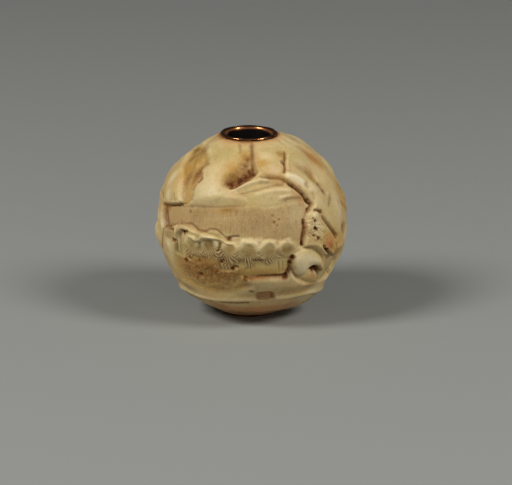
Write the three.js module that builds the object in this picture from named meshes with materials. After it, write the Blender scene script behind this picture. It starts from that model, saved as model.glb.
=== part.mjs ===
// Carved bead: a drilled ball of ivory with a landscape carved all round it, and a flared metal
// eyelet set into each end of its cord hole.
// Millimetres, +Z up along the cord hole, origin on the ground under the hole, -Y is the front.
import * as THREE from "three";

// The ball
const ballRadius = 8.0;
const leanLength = 0.26; // the carved mass leans this far to the right of the cord hole
const lipSink = 0.2; // the ball's two ends are cut back this far for the eyelets
const halfHeight = ballRadius - lipSink; // from the ball's centre out to the face of either lip
const endFlat = 0.14; // the ball is worn flatter than round by this much near either end
const collarWidth = 1.5; // and comes level with the lip over this distance
const carveFade = 0.5; // the carving dies out over this distance towards the lip

// The eyelets
const holeRadius = 1.35; // clear way for the cord
const sleeveWall = 0.22;
const sleeveDepth = 3.4; // from the lip's face to the end of the sleeve
const lipRadius = 2.38;
const edgeRadius = 0.09; // the lip's outer edge is rolled to this radius
const mouthRadius = 0.2; // and its inner edge to this one
const lipFlat = 0.1; // flat left between the two
const flareDepth = 1.1; // the trumpet mouth runs into the sleeve over this depth
const coneSpread = 0.48; // the mouth's underside is this much wider than the sleeve

// Running fits of the eyelets in the ivory
const sleeveClearance = 0.03;
const seatClearance = 0.03;

// Depths of the grounds under the ball's skin
const skyDepth = 0.46;
const slopeDepth = 0.24;
const pineDepth = 0.4;
const rockDepth = 0.3;
const valleyDepth = 0.36;
const markDepth = 0.14;

// Heights of what stands on them, over the ball's skin
const peakRise = 0.2;
const hillRise = 0.12;
const curlRise = 0.14;
const pineRise = 0.28;
const bankRise = 0.12;
const ledgeRise = 0.14;
const swellRise = 0.2;

// The cutters, and the soft edges that they and long handling left
const burrDepth = 0.34;
const burrWidth = 0.7;
const fineDepth = 0.2;
const fineWidth = 0.6;
const gougeDepth = 0.45;
const gougeWidth = 1.7;
const drillDepth = 0.6;
const ledgeWidth = 0.85;
const bankWidth = 1.1;
const crispEdge = 0.3;
const softEdge = 0.8;
const slowEdge = 1.5;
const blockShoulder = 1.1;
const hillShoulder = 1.9;
const bandShoulder = 0.6;
const finestCut = 0.4; // nothing narrower than this is left standing or open

// Fineness of the faceted surfaces, in counts
const ballColumns = 100;
const ballRows = 48;
const eyeletColumns = 48;
const flareSteps = 6;
const rollSteps = 4;
const lineSteps = 3;
const ringSteps = 72;

// How the scene on the back is sheared and rippled out of the front one, in turns, shares and waves
const shearTurn = 0.34;
const rippleTurn = 0.05;
const swayTurn = 0.07;
const driftShare = 0.02;
const shearWaves = 2.6;
const rippleWaves = 7;

const degree = Math.PI / 180;
const mouthSlope = 24 * degree; // the mouth's inner edge runs into the funnel at this angle

// One side of the ball as the carver faces it, turned about the hole and then tipped up.
// A place on a side is a pair of shares of the ball's radius, to the right and up.
function side(azimuth, elevation) {
  const a = azimuth * degree;
  const e = elevation * degree;
  return {
    right: new THREE.Vector3(Math.cos(a), Math.sin(a), 0),
    up: new THREE.Vector3(-Math.sin(a) * Math.sin(e), Math.cos(a) * Math.sin(e), Math.cos(e)),
    out: new THREE.Vector3(Math.sin(a) * Math.cos(e), -Math.cos(a) * Math.cos(e), Math.sin(e)),
  };
}

const viewTilt = 16.5; // the scenes are laid out as seen from this many degrees above level
const flankTurn = 104; // and the mountains between them this many degrees round from the front
const front = side(0, viewTilt);
const back = side(180, viewTilt);
const rightSide = side(flankTurn, 0);
const leftSide = side(-flankTurn, 0);

function onBall(on, [u, v]) {
  const w = Math.sqrt(Math.max(0, 1 - u * u - v * v));
  const place = on.right.clone().multiplyScalar(u);
  return place.addScaledVector(on.up, v).addScaledVector(on.out, w).normalize();
}

// A smooth line on the ball through hand placed points, as short straight steps.
function lineThrough(on, shares, closed) {
  const places = shares.map((share) => onBall(on, share));
  return new THREE.CatmullRomCurve3(places, closed, "centripetal").getPoints(shares.length * lineSteps);
}

// A level line all round the ball that wavers up and down.
function lineRound(levelShare, waverShare, waves) {
  const places = [];
  for (let i = 0; i <= ringSteps; i++) {
    const turn = (2 * Math.PI * i) / ringSteps;
    const up = levelShare + waverShare * Math.sin(waves * turn);
    const across = Math.sqrt(1 - up * up);
    places.push(new THREE.Vector3(across * Math.sin(turn), -across * Math.cos(turn), up));
  }
  return places;
}

const step = new THREE.Line3();
const nearestPlace = new THREE.Vector3();

function distanceTo(line, place) {
  let nearest = Infinity;
  for (let i = 0; i + 1 < line.length; i++) {
    step.set(line[i], line[i + 1]).closestPointToPoint(place, true, nearestPlace);
    nearest = Math.min(nearest, nearestPlace.distanceToSquared(place));
  }
  return Math.sqrt(nearest) * ballRadius;
}

// A cutter that leaves alone whatever lies further than its reach from the line it follows.
function near(line, reach, carve) {
  const field = new THREE.Sphere().setFromPoints(line);
  field.radius += reach / ballRadius;
  return (height, place) => (field.containsPoint(place) ? carve(height, place) : height);
}

function isInside(on, outline, place) {
  const u = place.dot(on.right);
  const v = place.dot(on.up);
  let inside = false;
  for (let i = 0, j = outline.length - 1; i < outline.length; j = i++) {
    const [ui, vi] = [outline[i].dot(on.right), outline[i].dot(on.up)];
    const [uj, vj] = [outline[j].dot(on.right), outline[j].dot(on.up)];
    if (vi > v !== vj > v && u < ((uj - ui) * (v - vi)) / (vj - vi) + ui) inside = !inside;
  }
  return inside && place.dot(on.out) > 0;
}

function smooth(share) {
  const s = Math.min(1, Math.max(0, share));
  return s * s * (3 - 2 * s);
}

function blend(from, to, share) {
  return from + (to - from) * share;
}

// Ground cut down to one level inside an outline, with walls that slope over the given edge.
function shelf(on, depth, edge, outlineShares) {
  const outline = lineThrough(on, outlineShares, true);
  return near(outline, edge, (height, place) => {
    const reach = distanceTo(outline, place) * (isInside(on, outline, place) ? 1 : -1);
    return blend(height, -depth, smooth(reach / edge + 1 / 2));
  });
}

// A form left standing inside an outline, with round shoulders up to its crown.
function mound(on, footDepth, crownRise, shoulder, edge, outlineShares) {
  const outline = lineThrough(on, outlineShares, true);
  return near(outline, edge, (height, place) => {
    const reach = distanceTo(outline, place) * (isInside(on, outline, place) ? 1 : -1);
    const rise = 1 - Math.min(1, Math.max(0, reach / shoulder));
    const top = Math.max(height, blend(-footDepth, crownRise, Math.sqrt(1 - rise * rise)));
    return blend(height, top, smooth(reach / edge + 1 / 2));
  });
}

// A round bottomed cut along a line, or with a depth below zero a ridge left along it.
function cut(on, width, depth, shares) {
  const line = Array.isArray(shares[0]) ? lineThrough(on, shares) : shares;
  return near(line, width, (height, place) => height - depth * smooth(1 - (2 * distanceTo(line, place)) / width));
}

// Right and up from a place on the ball to another, along axes turned and stretched about the first.
function offset(on, centre, place, turn, stretchShare) {
  const from = place.clone().sub(centre);
  const [x, y] = [from.dot(on.right), from.dot(on.up)];
  const [c, s] = [Math.cos(turn * degree), Math.sin(turn * degree)];
  return Math.hypot((x * c + y * s) / stretchShare, y * c - x * s, from.dot(on.out));
}

// A soft swelling about one place, or with a rise below zero a soft hollow.
function swell(on, placeShares, radiusShare, rise, stretchShare = 1, turn = 0) {
  const centre = onBall(on, placeShares);
  return (height, place) => {
    const reach = offset(on, centre, place, turn, stretchShare) / radiusShare;
    return reach < 1 ? height + rise * (1 - reach * reach) ** 2 : height;
  };
}

// A drilled pit.
function pit(on, placeShares, radiusShare, depth) {
  const centre = onBall(on, placeShares);
  return (height, place) => {
    const reach = centre.distanceTo(place) / radiusShare;
    return reach < 1 ? height - depth * Math.sqrt(1 - reach * reach) : height;
  };
}

// A clump of pine needles: a dome with a raised upper rim, hollowed low down, over a skirt of needles.
function pine(on, placeShares, radiusShare, turn = 0) {
  const centre = onBall(on, placeShares);
  const right = new THREE.Vector3().crossVectors(on.up, centre).normalize();
  const up = new THREE.Vector3().crossVectors(centre, right);
  return (height, place) => {
    const from = place.clone().sub(centre);
    const [x, y] = [from.dot(right) / radiusShare, from.dot(up) / radiusShare];
    const gap = Math.hypot(x, y, from.dot(centre) / radiusShare);
    if (gap > 2) return height;
    const angle = Math.abs(Math.atan2(x, -y) / degree - turn);
    const upper = smooth((angle - 30) / 80);
    const body = smooth((1.12 - gap) / 0.3);
    const dome = Math.sqrt(Math.max(0, 1 - (gap / 1.12) ** 2));
    const rim = smooth(1 - Math.abs(gap - 0.74) / 0.4) * upper;
    const core = smooth(1 - Math.hypot(x, y + 0.4));
    const skirt = smooth((gap - 0.45) / 0.35) * smooth((1.6 - gap) / 0.5) * smooth((80 - angle) / 40);
    const clump = (0.75 * dome * (0.55 + 0.45 * upper) + 0.3 * rim) * (0.45 + 0.55 * body) - 0.35 * core;
    return height + pineRise * (clump + 0.35 * skirt * (1 - body));
  };
}

// A scroll of cloud, drawn in shares of its own half width about a place on the ball.
const cloudShares = [
  [-1.03, 0.06], [-0.82, 0.53], [-0.47, 0.79], [0, 0.78], [0.59, 0.5], [0.91, 0], [0.85, -0.47],
  [0.4, -0.24], [0.06, -0.29], [-0.12, -0.59], [-0.59, -0.74], [-0.88, -0.47],
];
const cloudEyeShares = [[0, -0.42], [0.22, -0.25], [0.48, -0.27], [0.66, -0.46], [0.72, -0.7]];
const cloudHeartShares = [[0, -0.5], [0.28, -0.42], [0.55, -0.6], [0.58, -0.9], [0.24, -1.1], [-0.16, -1]];
const cloudBackShares = [[-0.86, 0.62], [-1.12, 0.1], [-1, -0.5], [-0.7, -0.85]];

function cloud(on, [u, v], widthShare, hand) {
  const placed = (shares) => shares.map(([x, y]) => [u + hand * x * widthShare, v + y * widthShare]);
  return [
    mound(on, rockDepth, curlRise, blockShoulder, crispEdge, placed(cloudShares)),
    mound(on, rockDepth, 0, bandShoulder, crispEdge, placed(cloudHeartShares)),
    cut(on, fineWidth, drillDepth, placed(cloudEyeShares)),
    cut(on, fineWidth, burrDepth, placed(cloudBackShares)),
  ];
}

// The scene carved on the front, and once more, shifted about, on the back.
function scene(on) {
  return [
    // The valley left of the mountain
    shelf(on, valleyDepth, softEdge, [
      [-0.5, 0.8], [-0.46, 0.64], [-0.53, 0.54], [-0.53, 0.43], [-0.6, 0.36], [-0.66, 0.18],
      [-0.74, 0.18], [-0.745, 0.3], [-0.74, 0.45], [-0.74, 0.58], [-0.7, 0.68], [-0.6, 0.8],
    ]),
    // The slope under the cliff, and the sky that it runs into
    shelf(on, slopeDepth, softEdge, [
      [-0.62, 0.14], [-0.42, 0.17], [-0.28, 0.26], [-0.22, 0.33], [-0.1, 0.38], [0.05, 0.45], [0.2, 0.46],
      [0.33, 0.43], [0.46, 0.36], [0.58, 0.27], [0.65, 0.17], [0.5, 0.1], [0.2, 0.08], [-0.2, 0.1],
    ]),
    shelf(on, skyDepth, crispEdge, [
      [-0.93, 0.17], [-0.84, 0.18], [-0.66, 0.165], [-0.5, 0.14], [-0.38, 0.135], [-0.2, 0.145],
      [0, 0.15], [0.18, 0.16], [0.35, 0.19], [0.45, 0.22], [0.56, 0.235], [0.61, 0.2], [0.61, 0.12],
      [0.585, 0], [0.57, -0.12], [0.55, -0.3], [0.45, -0.36], [0.2, -0.32], [-0.1, -0.28], [-0.3, -0.22],
      [-0.45, -0.15], [-0.62, -0.1], [-0.75, -0.04], [-0.93, -0.06],
    ]),
    shelf(on, skyDepth, slowEdge, [
      [-0.06, 0.15], [0.1, 0.19], [0.28, 0.225], [0.45, 0.25], [0.58, 0.22], [0.57, 0], [0.3, -0.1],
      [0, -0.05],
    ]),
    // The far peak, and the mountain with its scalloped flank
    mound(on, burrDepth, peakRise, slowEdge, crispEdge, [
      [-0.8, 0.68], [-0.74, 0.6], [-0.735, 0.45], [-0.74, 0.3], [-0.735, 0.19], [-0.84, 0.18],
      [-0.93, 0.18], [-0.985, 0.22], [-0.97, 0.4], [-0.9, 0.56],
    ]),
    mound(on, valleyDepth, hillRise / 2, hillShoulder, crispEdge, [
      [-0.34, 0.8], [-0.41, 0.68], [-0.455, 0.61], [-0.525, 0.555], [-0.51, 0.5], [-0.53, 0.435],
      [-0.595, 0.37], [-0.62, 0.28], [-0.655, 0.165], [-0.5, 0.14], [-0.38, 0.137], [-0.2, 0.148],
      [-0.04, 0.18], [-0.12, 0.28], [-0.24, 0.335], [-0.29, 0.4], [-0.28, 0.48], [-0.18, 0.54],
      [-0.12, 0.6], [-0.11, 0.72], [-0.16, 0.82],
    ]),
    // The hollow above the slope, sharp only along the slope's rim
    swell(on, [-0.08, 0.66], 0.14, -fineDepth, 1.6, 84),
    swell(on, [-0.03, 0.53], 0.14, -gougeDepth, 1.3, 65),
    swell(on, [-0.12, 0.455], 0.14, -gougeDepth, 1.4, 35),
    swell(on, [-0.22, 0.405], 0.12, -gougeDepth, 1.1, 20),
    cut(on, burrWidth, burrDepth, [
      [0.045, 0.52], [0.02, 0.487], [-0.05, 0.442], [-0.13, 0.39], [-0.2, 0.355], [-0.25, 0.36],
    ]),
    // The cliff, its clefts and its ledge, and the arc that undercuts it
    mound(on, rockDepth, hillRise / 2, blockShoulder, crispEdge, [
      [0.02, 0.735], [0.1, 0.75], [0.22, 0.745], [0.29, 0.72], [0.3, 0.62], [0.29, 0.53], [0.25, 0.47],
      [0.14, 0.455], [0.055, 0.48], [0.02, 0.55], [0.015, 0.64],
    ]),
    cut(on, fineWidth, burrDepth, [[0, 0.82], [0.004, 0.66], [0.01, 0.58], [0.05, 0.485]]),
    cut(on, fineWidth, burrDepth, [
      [0.34, 0.74], [0.345, 0.66], [0.335, 0.6], [0.345, 0.54], [0.325, 0.475],
    ]),
    swell(on, [0.49, 0.64], 0.2, hillRise, 1.3, -35),
    swell(on, [0.6, 0.7], 0.11, -markDepth, 2.2, -50),
    swell(on, [0.73, 0.56], 0.15, hillRise, 1.3, -60),
    swell(on, [0.53, 0.535], 0.1, -markDepth, 2.2, -25),
    cut(on, burrWidth, burrDepth, [
      [0.08, 0.455], [0.12, 0.442], [0.22, 0.443], [0.32, 0.425], [0.42, 0.375], [0.48, 0.335],
      [0.55, 0.28], [0.6, 0.215], [0.632, 0.17], [0.612, 0.115], [0.6, 0.05],
    ]),
    cut(on, ledgeWidth, -ledgeRise, [[0.345, 0.475], [0.42, 0.475], [0.5, 0.45], [0.575, 0.395]]),
    cut(on, ledgeWidth, -ledgeRise, [
      [-0.24, 0.3], [-0.18, 0.325], [-0.1, 0.365], [0.03, 0.41], [0.2, 0.41],
    ]),
    // The blocks right of the arc, and the rock at the sky's upright edge
    mound(on, rockDepth, 0, blockShoulder, crispEdge, [
      [0.6, 0.4], [0.68, 0.385], [0.73, 0.33], [0.79, 0.26], [0.79, 0.18], [0.76, 0.115], [0.7, 0.11],
      [0.645, 0.115], [0.66, 0.18], [0.62, 0.26], [0.575, 0.33],
    ]),
    cut(on, fineWidth, fineDepth, [
      [0.67, 0.42], [0.7, 0.385], [0.735, 0.33], [0.755, 0.3], [0.8, 0.275],
    ]),
    cut(on, fineWidth, fineDepth, [[0.64, 0.105], [0.69, 0.105], [0.735, 0.075]]),
    cut(on, fineWidth, fineDepth, [
      [0.715, 0.085], [0.74, 0.03], [0.775, -0.02], [0.82, -0.08], [0.885, -0.2],
    ]),
    mound(on, rockDepth, 0, bandShoulder, crispEdge, [
      [0.6, 0.08], [0.66, 0.1], [0.7, 0.075], [0.74, 0], [0.8, -0.08], [0.84, -0.17], [0.78, -0.24],
      [0.66, -0.235], [0.575, -0.22], [0.575, -0.1], [0.59, 0],
    ]),
    cut(on, fineWidth, burrDepth, [
      [0.56, 0.028], [0.573, -0.05], [0.565, -0.13], [0.548, -0.2], [0.545, -0.29],
    ]),
    swell(on, [0.88, 0.12], 0.21, hillRise, 1.4, 80),
    mound(on, pineDepth, hillRise, blockShoulder, crispEdge, [
      [0.745, -0.2], [0.8, -0.14], [0.87, -0.19], [0.93, -0.13], [0.97, -0.17], [0.95, -0.3],
      [0.89, -0.355], [0.83, -0.345], [0.78, -0.29],
    ]),
    cut(on, fineWidth, burrDepth, [
      [0.735, -0.245], [0.765, -0.3], [0.8, -0.33], [0.85, -0.375], [0.9, -0.4],
    ]),
    ...outlineBreaks(on),
    // Ground for the pines and the rocks, and the cloud that drifts over the left pines
    shelf(on, pineDepth, crispEdge, [
      [-0.76, -0.1], [-0.7, -0.14], [-0.58, -0.22], [-0.5, -0.19], [-0.36, -0.2], [-0.24, -0.25],
      [-0.1, -0.21], [0, -0.19], [0.1, -0.21], [0.2, -0.22], [0.3, -0.22], [0.44, -0.24], [0.52, -0.32],
      [0.46, -0.36], [0.41, -0.44], [0.4, -0.56], [0.34, -0.6], [0.1, -0.6], [-0.1, -0.6], [-0.3, -0.56],
      [-0.5, -0.5], [-0.7, -0.42], [-0.8, -0.34], [-0.8, -0.2],
    ]),
    mound(on, pineDepth, -fineDepth, bandShoulder, crispEdge, [
      [-0.74, -0.05], [-0.66, -0.04], [-0.61, -0.075], [-0.565, -0.115], [-0.5, -0.115], [-0.46, -0.095],
      [-0.4, -0.1], [-0.36, -0.125], [-0.3, -0.175], [-0.25, -0.2], [-0.3, -0.245], [-0.36, -0.24],
      [-0.46, -0.2], [-0.56, -0.22], [-0.66, -0.18], [-0.72, -0.13],
    ]),
    pit(on, [-0.735, -0.122], 0.04, drillDepth),
    shelf(on, rockDepth, softEdge, [
      [-0.8, -0.36], [-0.66, -0.42], [-0.46, -0.42], [-0.36, -0.47], [-0.12, -0.5], [0.1, -0.5],
      [0.3, -0.52], [0.38, -0.58], [0.34, -0.6], [0.1, -0.605], [-0.1, -0.62], [0, -0.7], [-0.2, -0.77],
      [-0.45, -0.75], [-0.62, -0.69], [-0.74, -0.58],
    ]),
    // The pines, the front ones over those behind
    pine(on, [-0.635, -0.275], 0.14, -15),
    pine(on, [-0.455, -0.285], 0.125, -5),
    cut(on, fineWidth, fineDepth, [[-0.34, -0.245], [-0.348, -0.285], [-0.37, -0.345]]),
    pine(on, [-0.235, -0.335], 0.095, -25),
    pine(on, [0.36, -0.315], 0.12, 10),
    pine(on, [-0.03, -0.315], 0.14, -8),
    pine(on, [0.175, -0.335], 0.125, 6),
    // The hollow, the slot and the block under them
    shelf(on, rockDepth + fineDepth, crispEdge, [
      [-0.36, -0.45], [-0.25, -0.47], [-0.16, -0.5], [-0.18, -0.54], [-0.26, -0.55], [-0.35, -0.54],
    ]),
    mound(on, rockDepth, -markDepth / 2, blockShoulder, softEdge, [
      [-0.03, -0.63], [0.1, -0.62], [0.3, -0.612], [0.365, -0.615], [0.37, -0.66], [0.36, -0.7],
      [0.2, -0.715], [0.04, -0.71], [-0.05, -0.68],
    ]),
    cut(on, fineWidth, burrDepth, [
      [-0.09, -0.617], [0, -0.612], [0.1, -0.602], [0.22, -0.595], [0.36, -0.588],
    ]),
    pit(on, [0.35, -0.592], 0.04, gougeDepth),
    // The scroll of cloud at the right
    shelf(on, rockDepth, crispEdge, [
      [0.44, -0.36], [0.52, -0.29], [0.66, -0.27], [0.76, -0.34], [0.86, -0.38], [0.9, -0.44],
      [0.84, -0.56], [0.74, -0.64], [0.58, -0.66], [0.46, -0.61], [0.4, -0.5],
    ]),
    shelf(on, gougeDepth, crispEdge, [
      [0.79, -0.36], [0.88, -0.39], [0.92, -0.42], [0.84, -0.56], [0.79, -0.6], [0.785, -0.48],
    ]),
    cut(on, ledgeWidth, -ledgeRise, [
      [0.58, -0.245], [0.66, -0.25], [0.72, -0.285], [0.765, -0.345], [0.79, -0.42], [0.78, -0.52],
    ]),
    mound(on, burrDepth, curlRise, blockShoulder, crispEdge, [
      [0.425, -0.44], [0.455, -0.365], [0.52, -0.31], [0.6, -0.3], [0.7, -0.345], [0.76, -0.43],
      [0.755, -0.53], [0.72, -0.55], [0.68, -0.49], [0.62, -0.5], [0.575, -0.56], [0.5, -0.585],
      [0.445, -0.54],
    ]),
    cut(on, fineWidth, drillDepth, [
      [0.6, -0.525], [0.635, -0.498], [0.68, -0.5], [0.712, -0.53], [0.722, -0.575],
    ]),
    cut(on, fineWidth, burrDepth, [
      [0.455, -0.37], [0.425, -0.405], [0.405, -0.46], [0.403, -0.52], [0.36, -0.585],
    ]),
    // Marks on the bank, and the boulder at the far left
    shelf(on, markDepth, crispEdge, [[0.06, -0.755], [0.22, -0.75], [0.225, -0.82], [0.06, -0.828]]),
    cut(on, fineWidth, markDepth, [
      [-0.345, -0.843], [-0.27, -0.856], [-0.19, -0.866], [-0.1, -0.864], [-0.01, -0.855],
    ]),
    mound(on, burrDepth, 0, bandShoulder, crispEdge, [
      [-0.925, -0.17], [-0.88, -0.17], [-0.85, -0.21], [-0.82, -0.25], [-0.825, -0.3], [-0.87, -0.33],
      [-0.92, -0.29],
    ]),
    swell(on, [-0.985, -0.12], 0.15, swellRise, 1.3, 85),
  ];
}

// Swellings and recesses that break the round outline of the bead at both sides of a scene.
function outlineBreaks(on) {
  return [
    swell(on, [0.8, 0.58], 0.16, swellRise, 1.2, -60),
    swell(on, [0.905, 0.415], 0.1, -markDepth, 1.3, -70),
    swell(on, [0.97, 0.22], 0.2, swellRise, 1.2, 80),
    swell(on, [0.53, 0.83], 0.19, -markDepth, 1.4, -40),
    swell(on, [0.85, -0.43], 0.15, -gougeDepth, 1.3, 60),
    swell(on, [-0.61, 0.76], 0.21, -rockDepth, 1.3, 40),
    swell(on, [-0.43, 0.87], 0.16, -markDepth, 1.3, 30),
    swell(on, [-0.88, 0.5], 0.15, markDepth, 1.3, 60),
    swell(on, [-0.86, -0.49], 0.19, -fineDepth, 1.4, -50),
  ];
}

// A steep mountain over pines and rocks, between the two scenes. The hand mirrors it for the other flank.
function flank(on, hand) {
  const at = (shares) => shares.map(([u, v]) => [hand * u, v]);
  return [
    shelf(on, skyDepth, crispEdge, at([
      [-0.13, 0.03], [-0.08, 0.1], [0.02, 0.16], [0.14, 0.2], [0.3, 0.22], [0.46, 0.14], [0.44, -0.02],
      [0.34, -0.12], [0.16, -0.16], [0, -0.14], [-0.1, -0.08],
    ])),
    mound(on, pineDepth, hillRise, hillShoulder, crispEdge, at([
      [-0.28, 0.8], [-0.4, 0.62], [-0.5, 0.42], [-0.47, 0.24], [-0.3, 0.14], [-0.18, 0.08], [-0.06, 0.14],
      [0.09, 0.2], [0.16, 0.27], [0.13, 0.35], [0.19, 0.41], [0.15, 0.49], [0.17, 0.57], [0.09, 0.66],
      [0.06, 0.78],
    ])),
    cut(on, burrWidth, fineDepth, at([
      [0, 0.76], [-0.04, 0.64], [-0.1, 0.52], [-0.08, 0.4], [-0.14, 0.3], [-0.13, 0.2],
    ])),
    cut(on, ledgeWidth, -ledgeRise, at([
      [-0.08, 0.68], [-0.13, 0.58], [-0.17, 0.46], [-0.19, 0.34], [-0.2, 0.24],
    ])),
    cut(on, burrWidth, fineDepth, at([
      [-0.14, 0.72], [-0.2, 0.6], [-0.19, 0.5], [-0.26, 0.38], [-0.24, 0.28], [-0.3, 0.18],
    ])),
    mound(on, pineDepth, -markDepth, bandShoulder, crispEdge, at([
      [-0.14, -0.08], [-0.08, -0.03], [-0.01, -0.05], [0.05, 0], [0.12, 0.01], [0.17, -0.03],
      [0.25, -0.03], [0.3, -0.07], [0.38, -0.08], [0.3, -0.14], [0.1, -0.16], [-0.06, -0.15],
    ])),
    shelf(on, pineDepth, crispEdge, at([
      [-0.3, -0.24], [-0.14, -0.16], [0.1, -0.15], [0.36, -0.12], [0.48, -0.24], [0.44, -0.44],
      [0.24, -0.56], [-0.04, -0.6], [-0.26, -0.56], [-0.36, -0.44],
    ])),
    pine(on, [hand * 0.37, -0.15], 0.105, hand * 14),
    pine(on, [hand * 0.2, -0.19], 0.14, hand * 8),
    pine(on, [hand * 0.01, -0.24], 0.13, hand * -3),
    pine(on, [hand * 0.33, -0.33], 0.12, hand * 10),
    pine(on, [hand * -0.17, -0.32], 0.1, hand * -12),
    pine(on, [hand * 0.13, -0.38], 0.125, hand * 4),
    ...cloud(on, [hand * -0.06, -0.48], 0.13, hand),
    cut(on, fineWidth, fineDepth, at([[0.12, -0.55], [0.24, -0.55], [0.36, -0.52]])),
  ];
}

// Long hollows that run round the side of the ball, where both scenes end.
const sideHollows = [
  swell(rightSide, [-0.44, -0.03], 0.1, -gougeDepth, 2.6, -28),
  swell(leftSide, [0.34, 0.09], 0.08, -fineDepth, 2.8, 40),
];

const bank = [
  cut(front, gougeWidth, markDepth, lineRound(-0.55, 0.02, 3)),
  cut(front, bankWidth, -bankRise, lineRound(-0.64, 0.025, 3)),
];
const frontScene = [...scene(front), ...sideHollows];
const backScene = scene(back);
const flanks = [...flank(rightSide, 1), ...flank(leftSide, -1)];

function carved(cuts, height, place) {
  return cuts.reduce((level, carve) => carve(level, place), height);
}

// Where a place on the back takes its part of the scene from: the second scene is sheared and rippled.
function shifted({ x, y, z }) {
  const shear = shearTurn * Math.sin(shearWaves * z + 0.4) + rippleTurn * Math.sin(rippleWaves * z + 1);
  const turn = shear + swayTurn * Math.sin(3.1 * x + 2.3 * y + 1.7);
  const [c, s] = [Math.cos(turn), Math.sin(turn)];
  return new THREE.Vector3(x * c - y * s, x * s + y * c, z + driftShare * Math.sin(4 * x - 3 * y)).normalize();
}

// Height of the carving over the ball's skin at one place: both scenes, and the flanks where they meet.
function heightAt(place) {
  const facing = place.dot(front.out);
  const ground = carved(bank, 0, place);
  const height = carved(frontScene, ground, place);
  if (facing > 0) return height;
  const farHeight = carved(backScene, ground, shifted(place));
  const sideHeight = blend(farHeight, height, smooth((facing + 0.24) / 0.1));
  return blend(carved(flanks, sideHeight, place), sideHeight, smooth((facing + 0.1) / 0.1));
}

// Height of the ball's bare skin over its own centre, above a place that lies this far from the hole's axis.
function skinHeight(radius, turn) {
  const x = radius * Math.sin(turn) - leanLength;
  const y = radius * Math.cos(turn);
  return Math.sqrt(ballRadius * ballRadius - x * x - y * y);
}

// Height of the carving at one place, evened out over the width of the finest cutter.
function carvedHeight(place) {
  const beside = new THREE.Vector3(-place.y, place.x, 0).normalize().multiplyScalar(finestCut / ballRadius / 2);
  const above = new THREE.Vector3().crossVectors(place, beside);
  const places = [place];
  for (const [right, up] of [[1, 1], [1, -1], [-1, 1], [-1, -1]]) {
    places.push(place.clone().addScaledVector(beside, right).addScaledVector(above, up).normalize());
  }
  return places.reduce((sum, each) => sum + heightAt(each), 0) / places.length;
}

// The carved skin in one direction from the middle of the hole. Near the lips it is worn a little flat,
// and it rises or sinks a little to meet them all round, because the hole isn't in the ball's middle.
function carvedSkin(direction, seatRadius) {
  const along = direction.x * leanLength;
  const reach = along + Math.sqrt(along * along + ballRadius * ballRadius - leanLength * leanLength);
  const skin = direction.clone().multiplyScalar(reach);
  const outward = skin.clone().sub(new THREE.Vector3(leanLength, 0, 0)).normalize();
  const out = Math.hypot(skin.x, skin.y) - seatRadius;
  const flat = endFlat * smooth((Math.abs(outward.z) - 0.8) / 0.13) * smooth(out / collarWidth);
  skin.addScaledVector(outward, carvedHeight(outward) * smooth(out / carveFade) - flat);
  const sunk = halfHeight - 2 * edgeRadius - skinHeight(seatRadius, Math.atan2(skin.x, -skin.y));
  skin.z += Math.sign(skin.z) * sunk * smooth(1 - out / collarWidth);
  return skin;
}

// Rings of points about the hole, in a closed loop of rows, joined up into one closed skin.
function ringSkin(rows) {
  const columns = rows[0].length;
  const geometry = new THREE.BufferGeometry();
  const faces = [];
  for (let row = 0; row < rows.length; row++) {
    const next = (row + 1) % rows.length;
    for (let column = 0; column < columns; column++) {
      const beside = (column + 1) % columns;
      const [a, b] = [row * columns + column, row * columns + beside];
      const [c, d] = [next * columns + column, next * columns + beside];
      faces.push(a, c, b, b, c, d);
    }
  }
  geometry.setFromPoints(rows.flat());
  geometry.setIndex(faces);
  geometry.computeVertexNormals();
  return geometry;
}

function carvedBody() {
  const boreRadius = holeRadius + sleeveWall + sleeveClearance;
  const seatRadius = lipRadius + seatClearance;
  const seatHeight = halfHeight - 2 * edgeRadius - seatClearance;
  const coneHeight = halfHeight - flareDepth - seatClearance;
  const turns = Array.from({ length: ballColumns }, (_, i) => (2 * Math.PI * i) / ballColumns);
  const ring = (radius, height) =>
    turns.map((turn) => new THREE.Vector3(radius * Math.sin(turn), -radius * Math.cos(turn), height));
  const rows = [];

  for (let row = 0; row <= ballRows; row++) {
    rows.push(
      turns.map((turn) => {
        const first = Math.atan2(seatRadius, skinHeight(seatRadius, turn));
        const tilt = blend(first, Math.PI - first, row / ballRows);
        const across = Math.sin(tilt);
        const direction = new THREE.Vector3(across * Math.sin(turn), -across * Math.cos(turn), Math.cos(tilt));
        return carvedSkin(direction, seatRadius);
      }),
    );
  }
  for (const up of [-1, 1]) {
    const seat = [
      ring(seatRadius, up * seatHeight),
      ring(boreRadius + coneSpread, up * seatHeight),
      ring(boreRadius, up * coneHeight),
    ];
    rows.push(...(up < 0 ? seat : seat.reverse()));
  }
  return ringSkin(rows).translate(0, 0, halfHeight);
}

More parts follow.
